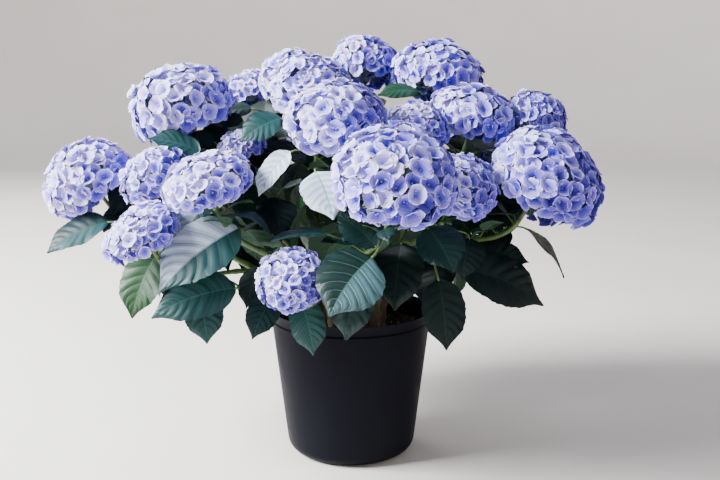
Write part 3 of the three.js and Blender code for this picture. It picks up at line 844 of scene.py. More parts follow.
class Leaf:
    """A blade on its petiole. The midrib is an arc that starts at one pitch and bends down."""

    def __init__(self, root, foot, azimuth, pitch, length, bend, roll, width_share, look=None):
        self.root, self.foot, self.azimuth, self.pitch = root, foot, azimuth, pitch
        self.length, self.bend, self.roll = length, bend, roll
        self.width_share, self.look = width_share, look

    def frame(self, t):
        """The midrib, the sideways and the upward direction at shares t of the length."""
        t = np.asarray(t, float)
        out, start, bend = heading(self.azimuth), math.radians(self.pitch), math.radians(self.bend)
        now = start - bend * t
        along = self.length * (math.sin(start) - np.sin(now)) / bend
        rise = self.length * (np.cos(now) - math.cos(start)) / bend
        middle = self.foot + along[..., None] * out + rise[..., None] * UP
        upright = np.cos(now)[..., None] * UP - np.sin(now)[..., None] * out
        level, roll = np.cross(UP, out), math.radians(self.roll)
        side = level * math.cos(roll) + upright * math.sin(roll)
        return middle, side, upright * math.cos(roll) - level * math.sin(roll)

    def half_width(self, t):
        """Half the blade's width: broad near the foot, drawn out at the tip."""
        widest = FOOT_FULLNESS / (FOOT_FULLNESS + TIP_FULLNESS)
        shape = t**FOOT_FULLNESS * (1 - t) ** TIP_FULLNESS
        fullest = widest**FOOT_FULLNESS * (1 - widest) ** TIP_FULLNESS
        return 0.5 * self.width_share * self.length * shape / fullest


def inside_shoot(curve, share):
    """A point on the straight stretches that stand for a shoot in the measured model."""
    corners = curve.point(np.arange(LIMB_STEPS + 1) / LIMB_STEPS)
    step = min(math.floor(share * LIMB_STEPS), LIMB_STEPS - 1)
    return corners[step] + (corners[step + 1] - corners[step]) * (share * LIMB_STEPS - step)


print(len(LEAF_TRIES), "places for each leaf to try")

# %% The leaves that the photo shows: blade foot, tip, width share, roll and look
# Each look carries the light that fell on the leaf, painted in: white, silver and the veined half are a
# painted reflection, dark, deep and ribbed painted shade.
SEEN_LEAVES = [
    ((30, -230, 350), (-25, -285, 285), 0.84, -40, "ribbed+veined"),
    ((35, -215, 360), (-20, -190, 400), 0.6, -50, "deep"),
    ((-45, -175, 455), (-20, -235, 400), 0.72, 15, "white"),
    ((-82, -142, 478), (-122, -168, 420), 0.5, -25, "white"),
    ((-30, -170, 370), (-105, -200, 365), 0.55, -5, "teal"),
    ((-152, -152, 374), (-250, -215, 300), 0.6, -38, "white+teal"),
    ((-200, -122, 403), (-233, -152, 350), 0.6, -40, "silver+teal"),
    ((-270, -115, 335), (-305, -145, 245), 0.62, -35, "bright"),
    ((-360, -33, 364), (-450, -48, 320), 0.68, -28, "deep+teal"),
    ((-160, -130, 285), (-275, -160, 250), 0.52, -55, "teal"),
    ((-214, -120, 282), (-200, -150, 209), 0.68, 15, "teal"),
    ((-105, -125, 275), (-135, -165, 220), 0.6, -35, "deep"),
    ((-128, -105, 312), (-146, -140, 258), 0.6, -10, "dark"),
    ((-70, -150, 275), (-50, -175, 200), 0.6, 25, "teal"),
    ((22, -118, 300), (-8, -165, 220), 0.85, 10, "deep"),
    ((105, -185, 380), (135, -235, 330), 0.8, 25, "deep"),
    ((125, -120, 295), (135, -150, 200), 0.6, 15, "dark"),
    ((160, -90, 305), (285, -70, 245), 0.55, 55, "dark"),
    ((185, -60, 315), (265, -50, 305), 0.55, 55, "dark"),
    ((260, -40, 355), (320, -40, 280), 0.5, 12, "dark"),
    ((-205, 5, 480), (-255, 0, 476), 0.7, -45, "dark"),
    ((-115, 65, 506), (-170, 60, 494), 0.7, -50, "teal"),
    ((110, 120, 550), (40, 100, 545), 0.5, -35, "green"),
    ((-220, -44, 468), (-294, -50, 488), 0.5, -45, "teal"),
    ((-168, 62, 508), (-212, 55, 500), 0.6, -50, "dark"),
    ((-200, 70, 472), (-245, 35, 440), 0.7, -25, "dark"),
    ((-159, 110, 524), (-231, 100, 506), 0.7, -25, "deep"),
    ((-78, 80, 460), (-132, 20, 447), 0.7, -25, "dark"),
    ((-335, 22, 384), (-375, -12, 345), 0.7, -20, "dark"),
    ((-190, 82, 490), (-240, 50, 456), 0.7, -50, "dark"),
    ((-101, -20, 516), (-160, -45, 483), 0.65, -45, "teal"),
    ((73, -90, 342), (62, -130, 252), 0.8, 10, "dark"),
    ((141, -50, 318), (108, -96, 246), 0.85, 10, "dark"),
    ((171, -95, 350), (158, -125, 296), 0.85, -10, "dark"),
    ((232, -20, 352), (204, -45, 305), 0.8, -10, "dark"),
]


def seen_leaf(foot, tip, width_share, roll, look):
    """A leaf seen in the photo, and the stem it hangs from: the nearest place on any shoot."""
    foot = np.array(foot, float)
    chord = np.array(tip, float) - foot
    half = math.radians(LEAF_SEEN_BEND / 2)
    shares = [i / ROOT_SPOTS for i in range(ROOT_SPOTS - 2)]
    spots = [(stem, inside_shoot(curve, at)) for stem in stems for curve in stem.shoots for at in shares]
    stem, root = min(spots, key=lambda spot: np.linalg.norm(spot[1] - foot))
    azimuth = math.degrees(math.atan2(chord[1], chord[0]))
    pitch = math.degrees(math.atan2(chord[2], math.hypot(chord[0], chord[1]))) + LEAF_SEEN_BEND / 2
    length = np.linalg.norm(chord) * half / math.sin(half)
    return stem, Leaf(root, foot, azimuth, pitch, length, LEAF_SEEN_BEND, roll, width_share, look)


for row in SEEN_LEAVES:
    stem, leaf = seen_leaf(*row)
    stem.leaves.append(leaf)
print(len(SEEN_LEAVES), "leaves stand as in the photo")


# %% The other leaves, at the places that the measured model gave them
def leaf_wishes(curve, draw):
    """How the leaves of one shoot wish to stand, as functions of a try."""
    roll = draw() * 180
    down = LEAF_FIRST_NODE
    pair = 0
    while pair < LEAF_PAIRS and down < curve.length - LEAF_BARE_FOOT:
        root, along = inside_shoot(curve, 1 - down / curve.length), curve.tangent(1 - down / curve.length)
        level, upright = square_to(along)
        spin = math.radians(roll + 90 * pair)
        size = LEAF_LENGTHS[0] + (LEAF_LENGTHS[1] - LEAF_LENGTHS[0]) * min(pair / 2, 1)
        for sign in (1, -1):
            out = (level * math.cos(spin) + upright * math.sin(spin)) * sign + along * LEAF_OUTWARD
            length = size * (LEAF_LEAST_SIZE + LEAF_SIZE_SPREAD * draw())
            pitch = LEAF_FIRST_PITCH - LEAF_PITCH_STEP * min(pair, 2) - LEAF_PITCH_STEP * draw()
            bend, own_roll = LEAF_LEAST_BEND + LEAF_BEND_SPREAD * draw(), LEAF_ROLL * (2 * draw() - 1)
            yield root, along, math.degrees(math.atan2(out[1], out[0])), length, pitch, bend, own_roll
        down += LEAF_INTERNODE * (1 + LEAF_STRETCH * pair)
        pair += 1


def turned_leaf(wish, down, turn, size):
    """A leaf as it wishes to stand, changed by one of its tries."""
    root, along, azimuth, length, pitch, bend, roll = wish
    direction = unit(heading(azimuth + turn) + along * LEAF_CLIMB)
    foot = root + direction * length * size * LEAF_PETIOLE_SHARE
    return Leaf(root, foot, azimuth + turn, pitch - down, length * size, bend, roll, LEAF_WIDTH_SHARE)


def is_corner(corners, point):
    return np.abs(corners - point).max(axis=1).min() < TIP_MATCH


for i, stem in enumerate(stems):
    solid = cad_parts["foliage_" + stem.name].data
    corners = np.array([corner.co for corner in solid.vertices], float) / MM
    draw = seeded(11 + 7 * i)
    for wish in [wish for curve in stem.shoots for wish in leaf_wishes(curve, draw)]:
        tries = (turned_leaf(wish, *turns) for turns in LEAF_TRIES)
        found = next((leaf for leaf in tries if is_corner(corners, leaf.frame(1.0)[0])), None)
        if found:
            stem.leaves.append(found)
print("leaves found:", sum(len(stem.leaves) for stem in stems), "on", len(stems), "stems")

# %% [markdown]
# ## Stems, petioles and flower stalks
# The young wood is green and round, swollen at each pair of leaves, and each leaf hangs from it
# by a petiole with a broad foot. Under a bloom the stalk splits into rays, and the rays into one
# thin stalk for each floret. All are thin tubes, far too many to draw one by one, so one helper
# makes a tube along any row of points, and they are joined into one piece for each stem.


# %% A tube along a row of points
def tube(points, radii, sides):
    """Corners and faces of a round tube, closed at both ends, that doesn't twist."""
    points = np.asarray(points, float)
    ahead = np.gradient(points, axis=0)
    ahead /= np.linalg.norm(ahead, axis=1)[:, None]
    side, rings = square_to(ahead[0])[0], []
    turns = 2 * np.pi * np.arange(sides) / sides
    for point, along, radius in zip(points, ahead, radii, strict=True):
        side = unit(side - along * (side @ along))
        up = np.cross(along, side)
        rings.append(point + radius * (np.cos(turns)[:, None] * side + np.sin(turns)[:, None] * up))
    faces = []
    for low in range(0, (len(points) - 1) * sides, sides):
        for s in range(sides):
            after = (s + 1) % sides
            faces.append((low + s, low + after, low + sides + after, low + sides + s))
    last = (len(points) - 1) * sides
    faces += [tuple(range(sides - 1, -1, -1)), tuple(range(last, last + sides))]
    return np.concatenate(rings), faces


short_tube = tube([(0, 0, 0), (0, 0, 5), (0, 0, 9)], (1, 1, 1), 6)
print("a tube of 3 rings and 6 sides has", len(short_tube[1]), "faces")

# %% Shoots and petioles
SHOOT_RINGS = 40
SHOOT_SIDES = 8
SHOOT_RADII = {"main": 4.6, "side": 4.0, "tip": 3.2}
NODE_SWELL = 0.22
PETIOLE_RINGS = 9
PETIOLE_SIDES = 7
PETIOLE_RADIUS = 1.8
PETIOLE_SAG = 0.06
PETIOLE_BEND = 0.35
PETIOLE_THINNEST = 0.8
PETIOLE_LAP = 2
PETIOLE_BELOW = 0.6
CLASP_SWELL = 1.1
CLASP_LENGTH = 4.5


def add_shoot(bunch, curve, foot_radius):
    """A green shoot with a swollen ring at each pair of leaves, counted down from its tip."""
    shares = np.arange(SHOOT_RINGS + 1) / SHOOT_RINGS
    down = (1 - shares) * curve.length
    swells = np.array([swelling(distance, LEAF_INTERNODE, LEAF_FIRST_NODE) for distance in down])
    radii = (foot_radius + (SHOOT_RADII["tip"] - foot_radius) * shares) * (1 + NODE_SWELL * swells)
    bunch.add(*tube(curve.point(shares), radii, SHOOT_SIDES), "green stem")


def add_petiole(bunch, leaf):
    """A petiole that clasps the shoot, sags a little and meets the midrib."""
    shares = np.linspace(0, 1, PETIOLE_RINGS)
    middle, _, normal = leaf.frame(np.array((0.0, 0.05)))
    reach = np.linalg.norm(leaf.foot - leaf.root)
    ahead = unit(middle[1] - middle[0])
    bend = leaf.foot - ahead * reach * PETIOLE_BEND - UP * reach * PETIOLE_SAG
    end = leaf.foot + ahead * PETIOLE_LAP - normal[0] * PETIOLE_BELOW
    swells = PETIOLE_THINNEST + (1 - PETIOLE_THINNEST) * shares
    swells += CLASP_SWELL * np.exp(-shares * reach / CLASP_LENGTH)
    radii = PETIOLE_RADIUS * swells * leaf.length / USUAL_LENGTH
    bunch.add(*tube(Curve(leaf.root, bend, end).point(shares), radii, PETIOLE_SIDES), "petiole")


stem_bunches = {}
for stem in stems:
    bunch = stem_bunches[stem.name] = Bunch()
    for i, curve in enumerate(stem.shoots):
        add_shoot(bunch, curve, SHOOT_RADII["main" if i == 0 else "side"])
    for leaf in stem.leaves:
        add_petiole(bunch, leaf)
print("stems and petioles:", sum(len(bunch.faces) for bunch in stem_bunches.values()), "faces")

# %% [markdown]
# ## Blooms
# What looks like one flower is a dome of a hundred florets or more. A floret is four broad sepals
# round a bead-like bud: two stand a little inside the other two, and all rise like a cup before
# their rims roll outwards. Sepals are pale at the rim and deeper towards the eye, partly their own
# colour and partly painted shade in the cup. One floret is drawn by a helper from a few seeded
# sizes, and an even spread of points over the dome says where each one sits and faces.

# %% One floret
SEPAL_STATIONS = np.array((0.0, 0.22, 0.44, 0.68, 0.9, 1.0))
SEPAL_WIDTHS = np.array((0.2, 0.62, 0.88, 1.0, 0.8, 0.5))
SEPAL_ACROSS = np.array((-1.0, -0.8, 0.0, 0.8, 1.0))
SEPAL_ZONES = ("heart", "inner", "middle", "blade", "rim")
SEPAL_ROUNDING = 0.55
SEPAL_WIDTH_SHARE = 0.56
SEPAL_BREADTHS = (0.93, 1.08)
SEPAL_LENGTHS = (0.98, 1.14)
SEPAL_TURN = 7
SEPAL_CUP = 0.16
SEPAL_RIM_CURL = 0.3
SEPAL_WAVE = 0.7
CUP_RISES = (44, 70)
RIM_SLOPES = (-14, 26)
INNER_SHORTER = 0.06
INNER_STEEPER = 9
INNER_RIM_STEEPER = 6
INNER_LIFT = 0.9
EYE_GAP = 0.8
FLORET_DIAMETER = 33
BUD_RADII = (1.7, 1.7, 1.87)
BUD_HEIGHT = 2.2


def sepal(draw, length, rise, roll_out, inside):
    """Corners of one sepal that points along +X, its foot at the floret's eye."""
    slopes = np.radians(rise + (roll_out - rise) * (SEPAL_STATIONS[1:] + SEPAL_STATIONS[:-1]) / 2)
    steps = np.diff(SEPAL_STATIONS) * length
    reach = np.concatenate(([0.0], np.cumsum(np.cos(slopes) * steps))) + EYE_GAP
    height = np.concatenate(([0.0], np.cumsum(np.sin(slopes) * steps))) + inside
    width = SEPAL_WIDTHS * length * SEPAL_WIDTH_SHARE * draw(*SEPAL_BREADTHS)
    side = SEPAL_ACROSS[None, :] * width[:, None]
    ahead = reach[:, None] * np.cos(SEPAL_ROUNDING * SEPAL_ACROSS[None, :])
    cup = SEPAL_CUP - SEPAL_RIM_CURL * SEPAL_STATIONS[:, None] ** 3
    cupped = cup * SEPAL_ACROSS[None, :] ** 2 * width[:, None]
    wave = np.array([[draw(-SEPAL_WAVE, SEPAL_WAVE) for _ in SEPAL_ACROSS] for _ in SEPAL_STATIONS])
    return np.stack((ahead, side, height[:, None] + cupped + wave), axis=-1)


def sepal_faces():
    """Faces of a sepal, and the zone of each: it is one step paler along its sides."""
    faces, zones = [], []
    across = len(SEPAL_ACROSS)
    for row in range(len(SEPAL_ZONES)):
        for column in range(across - 1):
            first = row * across + column
            faces.append((first, first + across, first + across + 1, first + 1))
            paler = row > 0 and column in (0, across - 2)
            zones.append(SEPAL_ZONES[min(row + paler, len(SEPAL_ZONES) - 1)])
    return faces, zones


def floret(draw, diameter):
    """Corners, faces and zones of a floret whose eye is at the origin and that faces +Z."""
    corners, faces, zones = [], [], []
    one, one_zones = sepal_faces()
    rise, roll_out = draw(*CUP_RISES), draw(*RIM_SLOPES)
    for k in range(4):
        inside = k % 2
        length = diameter / 2 * draw(*SEPAL_LENGTHS) * (1.0 - INNER_SHORTER * inside)
        slopes = rise + INNER_STEEPER * inside, roll_out + INNER_RIM_STEEPER * inside
        shape = sepal(draw, length, *slopes, INNER_LIFT * inside).reshape(-1, 3)
        turn = math.radians(90 * k + draw(-SEPAL_TURN, SEPAL_TURN))
        cosine, sine = math.cos(turn), math.sin(turn)
        spin = np.array(((cosine, sine, 0), (-sine, cosine, 0), (0, 0, 1)))
        faces += [tuple(len(corners) * len(shape) + c for c in face) for face in one]
        zones += one_zones
        corners.append(shape @ spin)
    base = 4 * len(corners[0])
    faces += [tuple(base + c for c in face) for face in CRUMB_FACES]
    zones += ["bud"] * len(CRUMB_FACES)
    corners.append(CRUMB_SHAPE * BUD_RADII + (0, 0, BUD_HEIGHT))
    return np.concatenate(corners), faces, zones


print("a floret has", len(floret(seeded(5), FLORET_DIAMETER)[1]), "faces")

# %% Where the florets sit on a dome
FULL_BLOOM = 164
FLORET_SPACING = 0.63
FLORET_LOWEST = -0.55
FLORET_SUNK = 10.5
FLORET_DEPTHS = (-7, 2)
FLORET_JITTER = 0.7
FLORET_TILT = 0.3
FLORET_LEAN = 0.12
FLORET_LEVEL = 0.9
FLORET_GROWTH = 0.8
DOME_LUMP = 0.03
LUMP_TURNS = np.array((3.3, 3.9))
UNDERSIDE_START = 0.35
HEXAGON_SHARE = 0.866
GOLDEN_TURN = 137.508


def even_spread(count):
    """Points spread evenly over a ball."""
    i = np.arange(count)
    z = 1 - (2 * i + 1) / count
    ring, turn = np.sqrt(1 - z * z), np.radians(i * GOLDEN_TURN)
    return np.stack((ring * np.cos(turn), ring * np.sin(turn), z), axis=-1)


def drawn_in(z):
    """The underside is drawn in towards the stalk."""
    t = min(max((-z - UNDERSIDE_START) / (1 - UNDERSIDE_START), 0.0), 1.0)
    return 1 - BLOOM_HOLLOW * t * t * (3 - 2 * t)


def floret_places(bloom, draw):
    """The eye and the facing of each floret, and how large the florets of this bloom are."""
    diameter = FLORET_DIAMETER * (2 * bloom.radius / FULL_BLOOM) ** FLORET_GROWTH
    ball = 4 * math.pi * (bloom.radius * FLORET_LEVEL) ** 2 * math.sqrt(bloom.flatness / BLOOM_FLATNESS)
    count = round(ball / ((diameter * FLORET_SPACING) ** 2 * HEXAGON_SHARE))
    sunk = FLORET_SUNK * diameter / FLORET_DIAMETER
    axes = np.array((*square_to(bloom.axis), bloom.axis))
    phases = draw(0, 6.28), draw(0, 6.28)
    jitter = FLORET_JITTER / math.sqrt(count)
    places = []
    for point in even_spread(count):
        point = unit(point + np.array([draw(-jitter, jitter) for _ in range(3)]))
        if point[2] < FLORET_LOWEST:
            continue
        lumps = np.sin(LUMP_TURNS * point[:2] + phases).sum()
        depth = bloom.radius * (1 + DOME_LUMP * lumps) - sunk + draw(*FLORET_DEPTHS)
        depth *= drawn_in(point[2])
        eye = bloom.centre + (point * (depth, depth, depth * bloom.flatness)) @ axes
        tilt = np.array([draw(-FLORET_TILT, FLORET_TILT) for _ in range(3)])
        facing = unit(point / (1, 1, bloom.flatness) + tilt)
        places.append((eye, unit(facing @ axes + bloom.axis * FLORET_LEAN)))
    return places, diameter


print("the front bloom has", len(floret_places(blooms[0], seeded(1))[0]), "florets")

# %% [markdown]
# The colours of a sepal have a place, so they aren't painted by a pattern: each zone of each
# floret takes one of a few plain colours. The florets of one dome differ too, by painted light:
# those that face the lamp high on the left are painted a pinkish white, a painted highlight,
# and those at the side, on the right and underneath a deeper blue, painted shade, with a little
# spread at random. The velvet look comes from a little sheen, and the papery one from fine
# relief.

# %% Petal colours: the heart and the rim of each tone
# The tones are paler and deeper copies of one blue, dealt mostly by painted light: the palest tones are a
# painted highlight, the deepest painted shade.
PETAL_TONES = {
    "white": ((0.35, 0.30, 0.84), (0.85, 0.80, 1.0)),
    "bleached": ((0.16, 0.135, 0.70), (0.75, 0.70, 1.0)),
    "lilac": ((0.084, 0.066, 0.54), (0.62, 0.56, 0.97)),
    "periwinkle": ((0.046, 0.036, 0.43), (0.46, 0.40, 0.92)),
    "deep blue": ((0.028, 0.021, 0.32), (0.30, 0.25, 0.84)),
}
# How far each zone goes from the heart's colour towards the rim's; the deep heart is partly the sepal's
# colour and partly painted shade in the cup.
ZONE_SHARES = (0.0, 0.2, 0.42, 0.65, 1.0)
PETAL_SHEEN = 0.15


def zone_colour(heart, rim, share):
    """A colour on the way from heart to rim, mixed as thin washes of paint mix."""
    return tuple(h ** (1 - share) * r**share for h, r in zip(heart, rim, strict=True))


def petal_finish(name, colour):
    """A matte sepal with a little sheen, and the fine relief of its veins."""
    finish, tree, shader = new_finish(name, colour, 0.6)
    shader.inputs["Sheen Weight"].default_value = PETAL_SHEEN
    shader.inputs["Sheen Roughness"].default_value = 0.5
    shader.inputs["Specular IOR Level"].default_value = 0.25
    crinkle = pattern(tree, "ShaderNodeTexNoise", Scale=520.0, Detail=3.0)
    tree.links.new(spread_over(tree, crinkle.outputs["Fac"], 0.5, 0.72), shader.inputs["Roughness"])
    add_bump(tree, shader, crinkle.outputs["Fac"], 0.0005, 0.35)
    return finish


petal_finishes = {
    f"{tone} {zone}": petal_finish(f"sepal {tone} {zone}", zone_colour(heart, rim, share))
    for tone, (heart, rim) in PETAL_TONES.items()
    for zone, share in zip(SEPAL_ZONES, ZONE_SHARES, strict=True)
}
petal_finishes["bud"] = petal_finish("floret bud", (0.42, 0.46, 0.72))
print(len(petal_finishes), "petal finishes")


# %% Grow the blooms
# Painted light: tones follow the lamp's direction, and florets on the right and low down are painted
# deeper, as shade.
PAINTED_LIGHT_FROM = unit(np.array((-0.8, -0.3, 0.62)))
TONE_MIDDLE = 0.56
PAINTED_LIGHT_TURN = 0.5
PAINTED_SHADE_ACROSS = 0.0005
PAINTED_SHADE_DOWN = 0.0005
FLORET_SHADE_HEIGHT = 450
TONE_SPREAD = 0.24
FLORET_SIZES = (0.88, 1.1)


def floret_tone(eye, facing, draw):
    """Painted light: florets that face the lamp are paler, those turned away, low or right deeper."""
    share = TONE_MIDDLE - PAINTED_LIGHT_TURN * facing @ PAINTED_LIGHT_FROM + draw(-TONE_SPREAD, TONE_SPREAD)
    share += PAINTED_SHADE_ACROSS * eye[0] + PAINTED_SHADE_DOWN * (FLORET_SHADE_HEIGHT - eye[2])
    tones = list(PETAL_TONES)
    return tones[min(max(int(share * len(tones)), 0), len(tones) - 1)]


def grow_bloom(bloom, draw):
    """All florets of one bloom in a bunch, and their eyes."""
    bunch = Bunch()
    places, diameter = floret_places(bloom, draw)
    for eye, facing in places:
        corners, faces, zones = floret(draw, diameter * draw(*FLORET_SIZES))
        level, upright = square_to(facing)
        spin = draw(0, 2 * math.pi)
        first = level * math.cos(spin) + upright * math.sin(spin)
        axes = np.array((first, np.cross(facing, first), facing))
        tone = floret_tone(eye, facing, draw)
        bunch.add(eye + corners @ axes, faces, [z if z == "bud" else f"{tone} {z}" for z in zones])
    return bunch, [eye for eye, _ in places]


floret_eyes = {}
for i, bloom in enumerate(blooms):
    bunch, floret_eyes[bloom.name] = grow_bloom(bloom, seeded(3001 + 17 * i))
    hand_in(*bunch.piece("florets_" + bloom.name, petal_finishes), "petal", "bloom_" + bloom.name)
print(sum(len(eyes) for eyes in floret_eyes.values()), "florets on", len(blooms), "blooms")

# %% Flower stalks: a main stalk, its rays and one thin stalk for each floret
RAY_COUNT = 9
RAY_REACH = 0.45
RAY_RADII = (1.9, 1.6, 1.4)
RAY_SIDES = 4
RAY_BOW = 2
STALK_RINGS = 5
STALK_SIDES = 8
STALK_TIP_RADIUS = 3.0
THREAD_RADII = (0.8, 0.75, 1.0)
THREAD_SIDES = 3
THREAD_BOW = 3
HUB_DEPTH = 0.75


def add_stalks(bunch, bloom, eyes):
    """The branching stalk inside a bloom."""
    hub = bloom.centre - bloom.axis * bloom.underside * HUB_DEPTH
    foot = bloom.stalk_foot - bloom.axis * CLEARANCE
    radii = np.linspace(SHOOT_RADII["tip"], STALK_TIP_RADIUS, STALK_RINGS)
    line = foot + np.linspace(0, 1, STALK_RINGS)[:, None] * (hub - foot)
    bunch.add(*tube(line, radii, STALK_SIDES), "green stem")
    eyes = np.array(eyes)
    level, upright = square_to(bloom.axis)
    rays = even_spread(2 * RAY_COUNT)[:RAY_COUNT] @ np.array((level, upright, bloom.axis))
    nearest = np.argmax((eyes - hub) @ rays.T, axis=1)
    for ray in range(RAY_COUNT):
        own = eyes[nearest == ray]
        if not len(own):
            continue
        fork = hub + (own.mean(axis=0) - hub) * RAY_REACH
        bow = (hub + fork) / 2 + bloom.axis * RAY_BOW
        bunch.add(*tube([hub, bow, fork], RAY_RADII, RAY_SIDES), "flower stalk")
        for eye in own:
            middle = (fork + eye) / 2 + unit(eye - bloom.centre) * THREAD_BOW
            bunch.add(*tube([fork, middle, eye], THREAD_RADII, THREAD_SIDES), "flower stalk")


for stem in stems:
    for bloom in stem.blooms:
        add_stalks(stem_bunches[stem.name], bloom, floret_eyes[bloom.name])
print("with flower stalks:", sum(len(bunch.faces) for bunch in stem_bunches.values()), "faces")


# %% Green stems
def stem_finish(name, pale, deep, specks):
    """Smooth green skin with fine lines along it and small reddish specks."""
    finish, tree, shader = new_finish(name, pale, 0.45)
    lines = pattern(tree, "ShaderNodeTexNoise", (1, 1, 0.25), Scale=240.0, Detail=4.0)
    skin = mixed_colour(tree, spread_over(tree, lines.outputs["Fac"], 0, 1), deep, pale)
    dots = pattern(tree, "ShaderNodeTexVoronoi", (1, 1, 0.6), Scale=300.0)
    dot_share = spread_over(tree, dots.outputs["Distance"], 0.7, 0, 0.06, 0.2)
    spotted = mixed_colour(tree, dot_share, skin, specks)
    tree.links.new(spotted, shader.inputs["Base Color"])
    tree.links.new(spread_over(tree, lines.outputs["Fac"], 0.36, 0.55), shader.inputs["Roughness"])
    add_bump(tree, shader, lines.outputs["Fac"], 0.0005, 0.6)
    return finish


STEM_COLOURS = {
    "green stem": ((0.085, 0.145, 0.035), (0.04, 0.08, 0.022), (0.07, 0.03, 0.02)),
    "petiole": ((0.11, 0.20, 0.045), (0.055, 0.11, 0.03), (0.1, 0.05, 0.02)),
    "flower stalk": ((0.20, 0.25, 0.24), (0.12, 0.17, 0.17), (0.14, 0.11, 0.26)),
}
stem_finishes = {name: stem_finish(name, *colours) for name, colours in STEM_COLOURS.items()}
print(len(stem_finishes), "stem finishes")

# %% [markdown]
# ## Leaves
# A hydrangea leaf is broad, toothed and quilted: the veins lie in grooves and the skin puffs up
# between them. A grid whose rows follow the veins gets all of that from its own corners. Each
# cell between two veins has a narrow pale row for the vein, then rows that rise and fall; the
# rows in the hollows are painted darker than the crests, as painted shade. The margin moves in
# and out for the teeth. The underside is a second, paler sheet just below.

# %% The grid of a leaf
CELL_ROWS = np.array((0.0, 0.075, 0.4, 0.74))
CELL_PUFF = np.array((0.0, 0.1, 1.0, 0.8))
CELL_TOOTH = np.array((0.2, 1.0, 0.0, 1.0))
COLUMNS = np.array((-1.0, -0.82, -0.56, -0.28, -0.03, 0.03, 0.28, 0.56, 0.82, 1.0))
COLUMN_PUFF = np.array((0.2, 0.75, 1.0, 0.8, 0.0, 0.0, 0.8, 1.0, 0.75, 0.2))
VEIN_SLANT = 0.26
VEIN_BEND = 1.25
VEIN_TAPER = 0.6
TIP_SHARE = 0.3
LEAF_PUFF = 1.6
PUFF_FADE = 0.4
TOOTH = 0.055
TOOTH_FADE = 0.5
LEAF_THICKNESS = 0.7
MIDRIB_DEPTH = 0.7
END_HALF_WIDTH = 0.8
TIP_NARROWEST = 0.35
MARGIN_WAVES = (0.008, 0.026)
MARGIN_TURNS = (7, 12)
MARGIN_CURLS = (-0.05, 0.02)
MARGIN_SHARPNESS = 2.5


def leaf_rows(cells):
    """Shares of the length, puff and tooth of every row, and whether a vein starts there."""
    starts = np.repeat(np.arange(cells), len(CELL_ROWS))
    shares = np.append((starts + np.tile(CELL_ROWS, cells)) / cells, 1.0)
    puff = np.append(np.tile(CELL_PUFF, cells), 0.0)
    tooth = np.append(np.tile(CELL_TOOTH, cells), 0.0)
    return shares, puff, tooth


def leaf_sheets(leaf, cells, draw):
    """Corners of the blade's top and underside, as two grids."""
    rows, puff, tooth = leaf_rows(cells)
    across = COLUMNS[None, :]
    own_row = rows[:, None] * np.ones_like(across)
    own_row[1::4] -= (rows[1::4] - rows[0:-1:4])[:, None] * VEIN_TAPER * np.abs(across)
    t = own_row + VEIN_SLANT * np.sin(np.pi * own_row) * np.abs(across) ** VEIN_BEND
    ahead = np.clip((1 - t) / TIP_SHARE, 0, 1)
    drawn_out = TIP_NARROWEST + (1 - TIP_NARROWEST) * ahead * ahead * (3 - 2 * ahead)
    half = np.maximum(leaf.half_width(np.clip(t, 0, 1)) * drawn_out, END_HALF_WIDTH)
    margin = (np.abs(across) == 1) * tooth[:, None] * TOOTH * np.sin(np.pi * t) ** TOOTH_FADE
    out = across * half * (1 + margin)
    fold = math.radians(LEAF_FOLD)
    wave = draw(*MARGIN_WAVES) * leaf.length * np.sin(draw(*MARGIN_TURNS) * t + draw(0, 6.28) + across)
    curl = draw(*MARGIN_CURLS) * leaf.length
    puffed = puff[:, None] * COLUMN_PUFF[None, :] * np.sin(np.pi * t) ** PUFF_FADE
    puffed *= LEAF_PUFF * leaf.length / USUAL_LENGTH
    lift = np.abs(out) * math.sin(fold) + puffed + (wave + curl) * np.abs(across) ** MARGIN_SHARPNESS
    middle, side, normal = leaf.frame(t)
    top = middle + side * (out * math.cos(fold))[..., None] + normal * lift[..., None]
    edge = (np.abs(across) == 1) | (rows[:, None] == 0) | (rows[:, None] == 1)
    below = np.where(edge, 0.0, LEAF_THICKNESS + MIDRIB_DEPTH * (across * across < 0.01))
    return top, top - normal * below[..., None]


print("a leaf's grid has", len(leaf_rows(8)[0]), "rows and", len(COLUMNS), "columns")

# %% Colours of the leaves
# Each look gives crest, valley and vein colours. The valley is the crest painted darker, as painted shade
# in the hollows.
LEAF_LOOKS = {
    # dark and deep stand for leaves in shade, and ribbed for a blade's shaded half: painted shade.
    "dark": ((0.0026, 0.0108, 0.0100), (0.0020, 0.0084, 0.0078), (0.006, 0.021, 0.018)),
    "deep": ((0.0055, 0.026, 0.024), (0.0042, 0.020, 0.019), (0.014, 0.048, 0.040)),
    "teal": ((0.010, 0.053, 0.052), (0.007, 0.040, 0.040), (0.022, 0.086, 0.078)),
    "green": ((0.009, 0.052, 0.024), (0.007, 0.039, 0.018), (0.026, 0.094, 0.042)),
    "bright": ((0.010, 0.051, 0.013), (0.008, 0.042, 0.010), (0.024, 0.082, 0.026)),
    # white and silver are a painted reflection of the light on the glossy skin, and veined is partly
    # painted sheen on a half whose pale veins are real.
    "white": ((0.500, 0.590, 0.690), (0.360, 0.440, 0.530), (0.160, 0.230, 0.280)),
    "ribbed": ((0.006, 0.026, 0.021), (0.004, 0.019, 0.016), (0.050, 0.110, 0.098)),
    "silver": ((0.340, 0.410, 0.460), (0.270, 0.340, 0.385), (0.180, 0.250, 0.280)),
    "veined": ((0.053, 0.122, 0.135), (0.034, 0.086, 0.090), (0.200, 0.330, 0.360)),
}
LEAF_ZONES = ("crest", "valley", "vein")
LEAF_ROUGHNESS = 0.46
LEAF_SHINE = 0.36
SHADED_SHINE = {"dark": 0.17, "deep": 0.26}
UNDERSIDE_SHINE = 0.2


